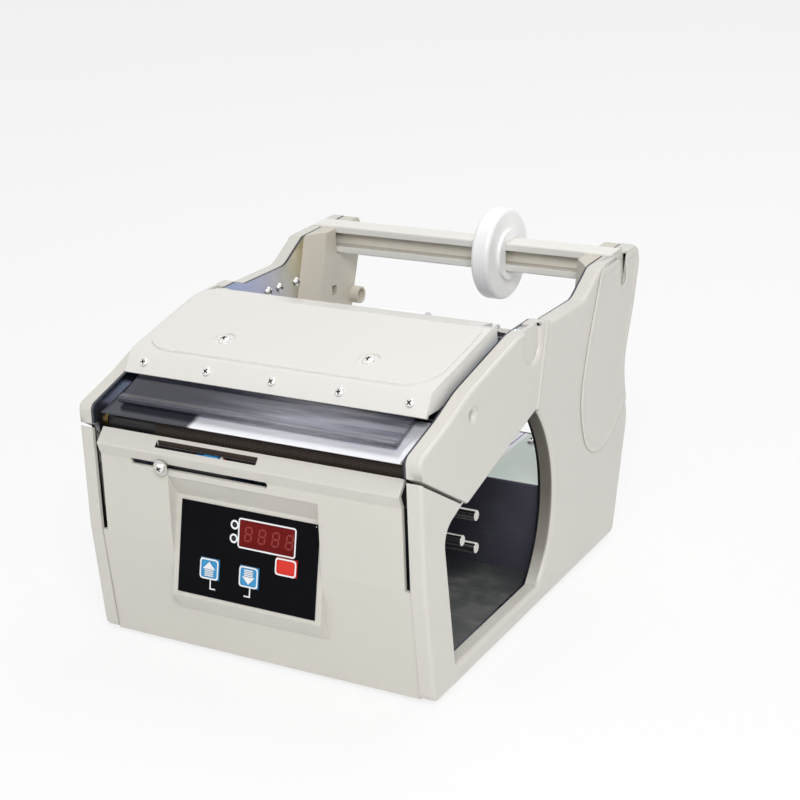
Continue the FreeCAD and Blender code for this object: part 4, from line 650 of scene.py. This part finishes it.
def sideCoverPieces(part):
    for nodeName, newName, side in (("left_side_cover", "sideCoverLeft", -1), ("right_side_cover", "sideCoverRight", 1)):
        word = "Left" if side < 0 else "Right"
        shape = flatMerged(nodeName)
        for run in edgeRun(shape, side, part["fieldX"]):
            reach = [point.y for pair in run for point in pair]
            kind = "rim" if max(reach) - min(reach) < 25 * mm else "band"
            points, edges = alongRun(run, part[kind]["level"], side)
            bead(kind + word, points, edges, part[kind], bodyOf[nodeName], slotOf[nodeName])
        roundEdges(shape, part["fieldEdge"], lambda edge: sharp(edge) and any(
            onPlane(face, side, part["fieldX"]) for face in edge.link_faces))
        front, low = part["slit"]

        def outer(edge, slit):
            middle = (edge.verts[0].co + edge.verts[1].co) / (2 * mm)
            return (sharp(edge) and (middle.y < front and middle.z > low) == slit
                    and any(onPlane(face, side, part["outerX"]) for face in edge.link_faces))

        roundEdges(shape, part["edge"], lambda edge: outer(edge, False), 4, clamp=False)
        roundEdges(shape, part["slitEdge"], lambda edge: outer(edge, True), clamp=False)
        piece = standIn(nodeName, newName, shape)
        # the inner walls of the door opening take the painted shade finish
        if side > 0:
            shadeWalls(piece, doorWallPaintedShade, part["door"][0], part["door"][1], lambda normal: abs(normal.x) < 0.5)
        points = [(side * part["crease"]["level"] * mm, y * mm, z * mm) for y, z in part["creaseLine"]]
        bead("crease" + word, points, [(number, number + 1) for number in range(len(points) - 1)], part["crease"],
             bodyOf[nodeName], slotOf[nodeName])


sideCoverPieces(sideCover)
print("side covers rounded")


# screw heads, one Geometry Nodes tree for all of them
def screwTree():
    tree = bpy.data.node_groups.new("crossScrews", "GeometryNodeTree")
    tree.interface.new_socket("Geometry", in_out="INPUT", socket_type="NodeSocketGeometry")
    tree.interface.new_socket("Geometry", in_out="OUTPUT", socket_type="NodeSocketGeometry")
    names = {"head": treeInput(tree, "Head diameter", "NodeSocketFloat", 5 * mm),
             "height": treeInput(tree, "Head height", "NodeSocketFloat", 1.5 * mm),
             "shank": treeInput(tree, "Shank length", "NodeSocketFloat", 5 * mm),
             "cross": treeInput(tree, "Cross width", "NodeSocketFloat", 0.7 * mm),
             "finish": treeInput(tree, "Finish", "NodeSocketMaterial", None),
             "crossShade": treeInput(tree, "Cross shade", "NodeSocketMaterial", None)}
    new = tree.nodes.new
    start = new("NodeGroupInput")
    end = new("NodeGroupOutput")

    def value(operation, first, second):
        made = new("ShaderNodeMath")
        made.operation = operation
        for number, part in enumerate((first, second)):
            if isinstance(part, (int, float)):
                made.inputs[number].default_value = part
            else:
                link(tree, part, made.inputs[number])
        return made.outputs[0]

    def vector(x, y, z):
        made = new("ShaderNodeCombineXYZ")
        for number, part in enumerate((x, y, z)):
            if isinstance(part, (int, float)):
                made.inputs[number].default_value = part
            else:
                link(tree, part, made.inputs[number])
        return made.outputs[0]

    def moved(geometry, shift=None, stretch=None, turn=None):
        made = new("GeometryNodeTransform")
        link(tree, geometry, made.inputs["Geometry"])
        if shift:
            link(tree, shift, made.inputs["Translation"])
        if stretch:
            link(tree, stretch, made.inputs["Scale"])
        if turn:
            made.inputs["Rotation"].default_value = turn
        return made.outputs["Geometry"]

    head, height = start.outputs["Head diameter"], start.outputs["Head height"]
    shank, cross = start.outputs["Shank length"], start.outputs["Cross width"]
    ball = new("GeometryNodeMeshUVSphere")
    ball.inputs["Segments"].default_value = 32
    ball.inputs["Rings"].default_value = 16
    ball.inputs["Radius"].default_value = 1
    dome = moved(ball.outputs["Mesh"], stretch=vector(value("MULTIPLY", head, 0.5), value("MULTIPLY", head, 0.5), height))
    cuts = []
    for turn in (0, math.pi / 2):
        cube = new("GeometryNodeMeshCube")
        link(tree, vector(value("MULTIPLY", head, 0.56), cross, height), cube.inputs["Size"])
        cuts.append(moved(cube.outputs["Mesh"], shift=vector(0, 0, value("MULTIPLY", height, 0.95)), turn=(0, 0, turn)))
    pit = new("GeometryNodeMeshCone")
    pit.inputs["Vertices"].default_value = 12
    link(tree, value("MULTIPLY", head, 0.16), pit.inputs["Radius Top"])
    link(tree, value("MULTIPLY", head, 0.05), pit.inputs["Radius Bottom"])
    link(tree, height, pit.inputs["Depth"])
    cuts.append(moved(pit.outputs["Mesh"], shift=vector(0, 0, value("MULTIPLY", height, 0.22))))
    # the cross and the centre pit are coloured dark brown as painted shade
    shaded = []
    for cut in cuts:
        dark = new("GeometryNodeSetMaterial")
        link(tree, cut, dark.inputs["Geometry"])
        link(tree, start.outputs["Cross shade"], dark.inputs["Material"])
        shaded.append(dark.outputs["Geometry"])
    bright = new("GeometryNodeSetMaterial")
    link(tree, dome, bright.inputs["Geometry"])
    link(tree, start.outputs["Finish"], bright.inputs["Material"])
    carved = new("GeometryNodeMeshBoolean")
    carved.operation = "DIFFERENCE"
    carved.solver = "EXACT"
    link(tree, bright.outputs["Geometry"], carved.inputs["Mesh 1"])
    for cut in shaded:
        link(tree, cut, carved.inputs["Mesh 2"])
    rod = new("GeometryNodeMeshCylinder")
    rod.inputs["Vertices"].default_value = 20
    link(tree, value("MULTIPLY", head, 0.25), rod.inputs["Radius"])
    link(tree, shank, rod.inputs["Depth"])
    shaft = moved(rod.outputs["Mesh"], shift=vector(0, 0, value("MULTIPLY", shank, -0.5)))
    rodBright = new("GeometryNodeSetMaterial")
    link(tree, shaft, rodBright.inputs["Geometry"])
    link(tree, start.outputs["Finish"], rodBright.inputs["Material"])
    whole = new("GeometryNodeJoinGeometry")
    link(tree, carved.outputs["Mesh"], whole.inputs["Geometry"])
    link(tree, rodBright.outputs["Geometry"], whole.inputs["Geometry"])
    facing = new("GeometryNodeInputNamedAttribute")
    facing.data_type = "FLOAT_VECTOR"
    facing.inputs["Name"].default_value = "facing"
    spin = new("GeometryNodeInputNamedAttribute")
    spin.data_type = "FLOAT"
    spin.inputs["Name"].default_value = "spin"
    align = new("FunctionNodeAlignRotationToVector")
    align.axis = "Z"
    link(tree, facing.outputs["Attribute"], align.inputs["Vector"])
    twist = new("FunctionNodeRotateRotation")
    twist.rotation_space = "LOCAL"
    turned = new("FunctionNodeAxisAngleToRotation")
    turned.inputs["Axis"].default_value = (0, 0, 1)
    link(tree, spin.outputs["Attribute"], turned.inputs["Angle"])
    link(tree, align.outputs["Rotation"], twist.inputs["Rotation"])
    link(tree, turned.outputs["Rotation"], twist.inputs["Rotate By"])
    copies = new("GeometryNodeInstanceOnPoints")
    link(tree, start.outputs["Geometry"], copies.inputs["Points"])
    link(tree, whole.outputs["Geometry"], copies.inputs["Instance"])
    link(tree, twist.outputs["Rotation"], copies.inputs["Rotation"])
    real = new("GeometryNodeRealizeInstances")
    link(tree, copies.outputs["Instances"], real.inputs["Geometry"])
    link(tree, real.outputs["Geometry"], end.inputs["Geometry"])
    return tree, names


crossScrews, screwInputs = screwTree()


def islands(nodeName):
    shape = welded(nodeName)
    left = set(shape.verts)
    groups = []
    while left:
        reached = [left.pop()]
        group = []
        while reached:
            vert = reached.pop()
            group.append(vert.co.copy())
            for edge in vert.link_edges:
                other = edge.other_vert(vert)
                if other in left:
                    left.remove(other)
                    reached.append(other)
        groups.append(group)
    shape.free()
    return groups


def screwsFor(nodeName, newName, axis, head, height, cross, spins=(0.3, 1.1, 0.7, 0.2, 0.9)):
    points, facings = [], []
    for group in islands(nodeName):
        centre = sum(group, Vector()) / len(group)
        up = Vector(axis(centre)).normalized()
        side = up.orthogonal().normalized()
        across = up.cross(side)
        middle = Vector()
        for direction in (side, across):
            reach = [point.dot(direction) for point in group]
            middle += direction * (max(reach) + min(reach)) / 2
        along = [point.dot(up) for point in group]
        points.append(middle + up * (max(along) - height * mm))
        facings.append(up)
        depth = max(along) - min(along) - height * mm
    piece = screwRow(newName, points, facings, {"head": head, "height": height, "cross": cross},
                     max(depth / mm, 0.2), spins, bodyOf[nodeName])
    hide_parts(nodeName)
    return piece


def screwRow(newName, points, facings, part, shank, spins, body):
    order = sorted(range(len(points)), key=lambda number: tuple(points[number]))
    mesh = bpy.data.meshes.new(newName)
    mesh.from_pydata([points[number] for number in order], [], [])
    mesh.attributes.new("facing", "FLOAT_VECTOR", "POINT")
    mesh.attributes.new("spin", "FLOAT", "POINT")
    for count, number in enumerate(order):
        mesh.attributes["facing"].data[count].vector = facings[number]
        mesh.attributes["spin"].data[count].value = spins[count % len(spins)]
    piece = bpy.data.objects.new(newName, mesh)
    scene.collection.objects.link(piece)
    modifier = piece.modifiers.new("screws", "NODES")
    modifier.node_group = crossScrews
    for word in ("head", "height", "cross"):
        modifier[screwInputs[word]] = part[word] * mm
    modifier[screwInputs["shank"]] = shank * mm
    modifier[screwInputs["finish"]] = finish["screw_chrome"]
    modifier[screwInputs["crossShade"]] = slotShade
    plainMesh(piece)
    smooth(piece.data, 40)
    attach(piece, body)
    return piece


lidFacing = {"strip": (0, -11.0, 7.5), "top": (0, -12.4, 67.5)}
screwsFor("guard_screws", "guardScrews", lambda spot: lidFacing["strip"], 5.4, 1.3, 0.75)
screwsFor("cover_screws", "coverScrews", lambda spot: lidFacing["top"], 7.0, 1.8, 0.9, (0.5, 0.2))
screwsFor("plate_screws", "plateScrews", lambda spot: (-1 if spot.x > 0 else 1, 0, 0), 6.4, 2.0, 0.85)
screwsFor("nose_screws", "noseScrews", lambda spot: (1 if spot.x > 0 else -1, 0, 0), 4.6, 1.6, 0.6)
screwsFor("sensor_screw", "clampScrew", lambda spot: (0, -1, 0), 6.0, 2.0, 0.8, (0.45,))
print("screws placed")


# the chamber wall: dark front, pale plated shelf behind it
shelf = {"topZ": 61.4, "screwSpot": (62.5, 77.8), "head": 6.0, "height": 2.4, "cross": 0.8, "shank": 0.9}


def shelfPieces(part):
    shape = flatMerged("chamber_wall")
    roundEdges(shape, 0.25, lambda edge: sharp(edge, 60), 1, 35)
    piece = standIn("chamber_wall", "chamberWall", shape)
    piece.data.materials.append(palePlated)
    for face in piece.data.polygons:
        if face.normal.z > 0.9 and face.center.z > (part["topZ"] - 0.5) * mm:
            face.material_index = 1
    x, y = part["screwSpot"]
    screwRow("shelfScrew", [Vector((x, y, part["topZ"])) * mm], [Vector((0, 0, 1))], part, part["shank"], (0.4,),
             bodyOf["chamber_wall"])


shelfPieces(shelf)


# the hinged cover: its rear right corner is cut back so that the hinge rod shows
coverCut = {"low": (86.0, -24.0, 150.0), "high": (96.0, 3.0, 178.0), "knuckle": ((82.6, -11.2, 158.4), (85.9, -2.8, 166.4)),
            "round": 2.8}


def boxMesh(low, high):
    made = bmesh.new()
    bmesh.ops.create_cube(made, size=1.0)
    size = Vector(high) - Vector(low)
    bmesh.ops.scale(made, verts=made.verts, vec=size * mm)
    bmesh.ops.translate(made, verts=made.verts, vec=(Vector(low) + size / 2) * mm)
    return made


def temporary(name, shape):
    mesh = bpy.data.meshes.new(name)
    shape.to_mesh(mesh)
    shape.free()
    piece = bpy.data.objects.new(name, mesh)
    scene.collection.objects.link(piece)
    return piece


def coverPieces(part):
    lid = temporary("lidShape", flatMerged("top_cover"))
    corner = temporary("lidCorner", boxMesh(part["low"], part["high"]))
    carved = lid.modifiers.new("corner", "BOOLEAN")
    carved.operation = "DIFFERENCE"
    carved.solver = "EXACT"
    carved.object = corner
    plainMesh(lid)
    shape = bmesh.new()
    shape.from_mesh(lid.data)
    knuckle = boxMesh(*part["knuckle"])
    bmesh.ops.bevel(knuckle, geom=[edge for edge in knuckle.edges if abs(edge.verts[0].co.x - edge.verts[1].co.x) > mm],
                    offset=part["round"] * mm, segments=5, affect="EDGES", profile=0.5)
    eye = temporary("knuckleShape", knuckle)
    shape.from_mesh(eye.data)
    for piece in (lid, corner, eye):
        bpy.data.objects.remove(piece)
    standIn("top_cover", "hingedCover", shape, 20)


coverPieces(coverCut)
print("cover corner cut")


# small parts on the sensor, seen through the ledge slot
sensorBeads = {"white": ((-16.0, -129.7, 119.5), 0.95, beadWhite), "red": ((-14.2, -129.7, 119.0), 0.75, beadRed)}
sensorLens = {"low": (-27.4, -130.6, 117.5), "high": (-18.4, -128.0, 120.2), "round": 0.2}


def sensorPieces(rows, lens):
    body, slot = bodyOf["sensor_head"], slotOf["sensor_head"]
    for name, (spot, radius, material) in rows.items():
        made = bmesh.new()
        bmesh.ops.create_uvsphere(made, u_segments=24, v_segments=14, radius=radius * mm)
        bmesh.ops.translate(made, verts=made.verts, vec=Vector(spot) * mm)
        mesh = bpy.data.meshes.new(name + "Bead")
        made.to_mesh(mesh)
        made.free()
        smooth(mesh)
        addPiece(name + "Bead", mesh, body, slot, material)
    block = boxMesh(lens["low"], lens["high"])
    bmesh.ops.bevel(block, geom=block.edges[:], offset=lens["round"] * mm, segments=2, affect="EDGES", profile=0.5)
    mesh = bpy.data.meshes.new("sensorLens")
    block.to_mesh(mesh)
    block.free()
    smooth(mesh)
    addPiece("sensorLens", mesh, body, slot)


sensorPieces(sensorBeads, sensorLens)


# the display face: millimetres from its left and top edges, lifted by proud
displayFace = {"left": -46.7, "top": (-126.5, 92.8), "bottom": (-140.0, 38.2), "height": 51.2, "film": 0.5}
topOfFace = Vector((0, *displayFace["top"]))
downFace = Vector((0, *displayFace["bottom"])) - topOfFace
faceMargin = (downFace.length - displayFace["height"]) / 2
downFace.normalize()
outOfFace = Vector((0, downFace.z, -downFace.y))


def onDisplay(left, top, proud=0.0):
    spot = topOfFace + downFace * (faceMargin + top) + outOfFace * (displayFace["film"] + proud)
    return Vector((displayFace["left"] + left, spot.y, spot.z)) * mm


def roundLoop(left, top, width, height, radius, steps=6):
    loop = []
    for x, y, start in ((left + width - radius, top + radius, -90), (left + width - radius, top + height - radius, 0),
                        (left + radius, top + height - radius, 90), (left + radius, top + radius, 180)):
        for step in range(steps + 1):
            angle = math.radians(start + 90 * step / steps)
            loop.append((x + radius * math.cos(angle), y + radius * math.sin(angle)))
    return loop


def circleLoop(left, top, radius, steps=36):
    return [(left + radius * math.cos(2 * math.pi * step / steps), top + radius * math.sin(2 * math.pi * step / steps))
            for step in range(steps)]


def printed(name, shapes, proud, thick, body, slot, material):
    made = bmesh.new()
    for outer, inner in shapes:
        rows = []
        for loop in (outer, inner):
            if loop:
                rows.append(([made.verts.new(onDisplay(x, y, proud)) for x, y in loop],
                             [made.verts.new(onDisplay(x, y, proud + thick)) for x, y in loop]))
        count = len(outer)
        if inner:
            for number in range(count):
                other = (number + 1) % count
                made.faces.new((rows[0][1][number], rows[0][1][other], rows[1][1][other], rows[1][1][number]))
                made.faces.new((rows[0][0][other], rows[0][0][number], rows[1][0][number], rows[1][0][other]))
        else:
            made.faces.new(rows[0][1])
            made.faces.new(rows[0][0][::-1])
        for base, lid in rows:
            for number in range(len(base)):
                other = (number + 1) % len(base)
                made.faces.new((base[number], base[other], lid[other], lid[number]))
    bmesh.ops.recalc_face_normals(made, faces=made.faces)
    mesh = bpy.data.meshes.new(name)
    made.to_mesh(mesh)
    made.free()
    return addPiece(name, mesh, body, slot, material)


def bar(left, top, width, height):
    return ([(left, top), (left + width, top), (left + width, top + height), (left, top + height)], None)


window = {"left": 38.2, "top": 5.0, "width": 35.0, "height": 14.8, "border": 0.85, "corner": 1.7}


def windowBorder(part):
    edge = part["border"]
    outer = roundLoop(part["left"] - edge, part["top"] - edge, part["width"] + 2 * edge, part["height"] + 2 * edge,
                      part["corner"])
    inner = roundLoop(part["left"], part["top"], part["width"], part["height"], part["corner"] - edge)
    printed("windowBorder", [(outer, inner)], 0.0, 0.06, "chassis", "membrane", printWhite)


lamps = {"spots": ((35.0, 8.6), (34.8, 16.1)), "outer": 2.6, "inner": 1.55, "lens": 0.9}


def lampRings(part):
    printed("lampRings", [(circleLoop(x, y, part["outer"]), circleLoop(x, y, part["inner"])) for x, y in part["spots"]],
            0.0, 0.06, "chassis", "membrane", printWhite)
    printed("lampLenses", [(circleLoop(x, y, part["lens"], 24), None) for x, y in part["spots"]],
            0.0, 0.12, "chassis", "black_plastic", finish["black_plastic"])


leaders = {"stroke": 0.75, "left": ((21.1, 41.4), (21.1, 46.4), (24.5, 46.4)),
           "right": ((46.7, 41.4), (46.7, 46.3), (43.0, 46.3)), "dot": (86.0, 1.2, 0.3)}


def leaderLines(part):
    half = part["stroke"] / 2
    shapes = []
    for side in ("left", "right"):
        (x0, y0), (x1, y1), (x2, y2) = part[side]
        away = 1 if x2 > x1 else -1
        shapes.append(([(x0 - half * away, y0), (x0 + half * away, y0), (x1 + half * away, y1 - half),
                        (x2, y2 - half), (x2, y2 + half), (x1 - half * away, y1 + half)], None))
    x, y, radius = part["dot"]
    shapes.append((circleLoop(x, y, radius, 12), None))
    printed("leaderLines", shapes, 0.0, 0.06, "chassis", "membrane", printWhite)


digits = {"left": 2.9, "top": 3.2, "width": 4.8, "height": 8.4, "pitch": 8.65, "stroke": 0.95, "lean": 0.12, "gap": 0.18}


def digitBars(part):
    wide, high, stroke, gap = part["width"], part["height"], part["stroke"], part["gap"]
    tall = high / 2
    point = stroke / 2

    def across(y):
        return [(point + gap, y), (stroke + gap, y - point), (wide - stroke - gap, y - point), (wide - point - gap, y),
                (wide - stroke - gap, y + point), (stroke + gap, y + point)]

    def upright(x, low, up):
        return [(x, low + point + gap), (x + point, low + stroke + gap), (x + point, up - stroke - gap),
                (x, up - point - gap), (x - point, up - stroke - gap), (x - point, low + stroke + gap)]

    strokes = [across(point), across(tall), across(high - point)]
    for x in (point, wide - point):
        strokes.append(upright(x, 0, tall + point))
        strokes.append(upright(x, tall - point, high))
    shapes = []
    for number in range(4):
        for loop in strokes:
            shapes.append(([(window["left"] + part["left"] + number * part["pitch"] + x + (high - y) * part["lean"],
                             window["top"] + part["top"] + y) for x, y in loop], None))
    printed("digitBars", shapes, 0.0, 0.04, "chassis", "red_filter", digitRed)


keys = {"key_up": (20.5, 35.4, 12.0, 11.4), "key_down": (46.0, 35.4, 12.0, 11.4), "key_reset": (69.0, 26.0, 13.2, 9.4),
        "proud": 0.9, "border": 0.85, "corner": 1.9}
arrow = {"head": 8.0, "headHeight": 4.1, "shaft": 5.6, "bars": 4, "bar": 0.62, "gap": 0.36}


def keyPrints(part, shape):
    for nodeName in ("key_up", "key_down", "key_reset"):
        x, y, width, height = part[nodeName]
        outer = roundLoop(x - width / 2, y - height / 2, width, height, part["corner"])
        inner = roundLoop(x - width / 2 + part["border"], y - height / 2 + part["border"], width - 2 * part["border"],
                          height - 2 * part["border"], part["corner"] - part["border"] * 0.6)
        shapes = [(outer, inner)]
        if nodeName != "key_reset":
            way = 1 if nodeName == "key_up" else -1
            total = shape["headHeight"] + shape["bars"] * (shape["bar"] + shape["gap"])
            tip = y - way * total / 2
            base = tip + way * shape["headHeight"]
            shapes.append(([(x, tip), (x + shape["head"] / 2, base), (x - shape["head"] / 2, base)], None))
            for number in range(shape["bars"]):
                start = base + way * (shape["gap"] + number * (shape["bar"] + shape["gap"]))
                low = min(start, start + way * shape["bar"])
                shapes.append(bar(x - shape["shaft"] / 2, low, shape["shaft"], shape["bar"]))
        printed(nodeName.replace("key_", "print_"), shapes, part["proud"] - 0.02, 0.07, bodyOf[nodeName],
                slotOf[nodeName], printWhite)


windowBorder(window)
lampRings(lamps)
leaderLines(leaders)
digitBars(digits)
keyPrints(keys, arrow)
print("display printed")


# floor, world and lights
stageSettings = {"floorSize": 6.0, "floorColor": srgb(244, 244, 243), "worldStrength": 0.37, "whiteShare": 0.8}


def makeStage(part):
    mesh = bpy.data.meshes.new("floor")
    half = part["floorSize"] / 2
    mesh.from_pydata([(-half, -half, 0), (half, -half, 0), (half, half, 0), (-half, half, 0)], [], [(0, 1, 2, 3)])
    floor = bpy.data.objects.new("floor", mesh)
    scene.collection.objects.link(floor)
    made = newFinish("paleFloor", part["floorColor"], 0.85)
    rays = node(made, "LightPath").outputs
    seen = math2(made, "MAXIMUM", math2(made, "MAXIMUM", rays["Is Camera Ray"], rays["Is Glossy Ray"]),
                 rays["Is Transmission Ray"])
    glow = node(made, "Emission", {"Color": (1, 1, 1, 1), "Strength": 1.0}).outputs["Emission"]
    blend = node(made, "MixShader", {"Fac": math2(made, "MULTIPLY", seen, part["whiteShare"])})
    put(made, shaderOf(made).outputs["BSDF"], blend.inputs[1])
    put(made, glow, blend.inputs[2])
    put(made, blend.outputs["Shader"], made.node_tree.nodes["Material Output"].inputs["Surface"])
    mesh.materials.append(made)

    world = bpy.data.worlds.new("studio")
    world.use_nodes = True
    scene.world = world
    tree = world.node_tree
    base = tree.nodes["Background"]
    base.inputs["Color"].default_value = (1, 1, 1, 1)
    base.inputs["Strength"].default_value = part["worldStrength"]
    white = tree.nodes.new("ShaderNodeBackground")
    white.inputs["Color"].default_value = (1, 1, 1, 1)
    white.inputs["Strength"].default_value = 1.0
    rays = tree.nodes.new("ShaderNodeLightPath").outputs
    either = None
    for ray in ("Is Camera Ray", "Is Glossy Ray", "Is Transmission Ray"):
        if either is None:
            either = rays[ray]
            continue
        joint = tree.nodes.new("ShaderNodeMath")
        joint.operation = "MAXIMUM"
        tree.links.new(either, joint.inputs[0])
        tree.links.new(rays[ray], joint.inputs[1])
        either = joint.outputs[0]
    blend = tree.nodes.new("ShaderNodeMixShader")
    tree.links.new(either, blend.inputs[0])
    tree.links.new(base.outputs[0], blend.inputs[1])
    tree.links.new(white.outputs[0], blend.inputs[2])
    tree.links.new(blend.outputs[0], tree.nodes["World Output"].inputs["Surface"])


lights = {"key": {"azimuth": 36, "elevation": 42, "distance": 1.4, "size": (0.5, 0.5), "power": 10.0},
          "top": {"azimuth": 175, "elevation": 62, "distance": 1.5, "size": (0.8, 0.8), "power": 6.5},
          "fill": {"azimuth": -45, "elevation": 25, "distance": 1.6, "size": (0.9, 0.9), "power": 2.0},
          "right": {"azimuth": 95, "elevation": 12, "distance": 1.5, "size": (0.4, 0.9), "power": 1.2}}


def makeLights(rows):
    for name, row in rows.items():
        data = bpy.data.lights.new(name, "AREA")
        data.shape = "RECTANGLE"
        data.size, data.size_y = row["size"]
        data.energy = row["power"]
        lamp = bpy.data.objects.new(name, data)
        around, above = math.radians(row["azimuth"]), math.radians(row["elevation"])
        aim = Vector((math.sin(around) * math.cos(above), -math.cos(around) * math.cos(above), math.sin(above)))
        aim *= -row["distance"]
        spot = Vector((0, 0, 0.08)) - aim
        lamp.matrix_world = Matrix.Translation(spot) @ aim.to_track_quat("-Z", "Y").to_matrix().to_4x4()
        scene.collection.objects.link(lamp)


makeStage(stageSettings)
makeLights(lights)
scene.view_settings.view_transform = "Standard"
print("stage and lights set")

bpy.context.view_layer.update()
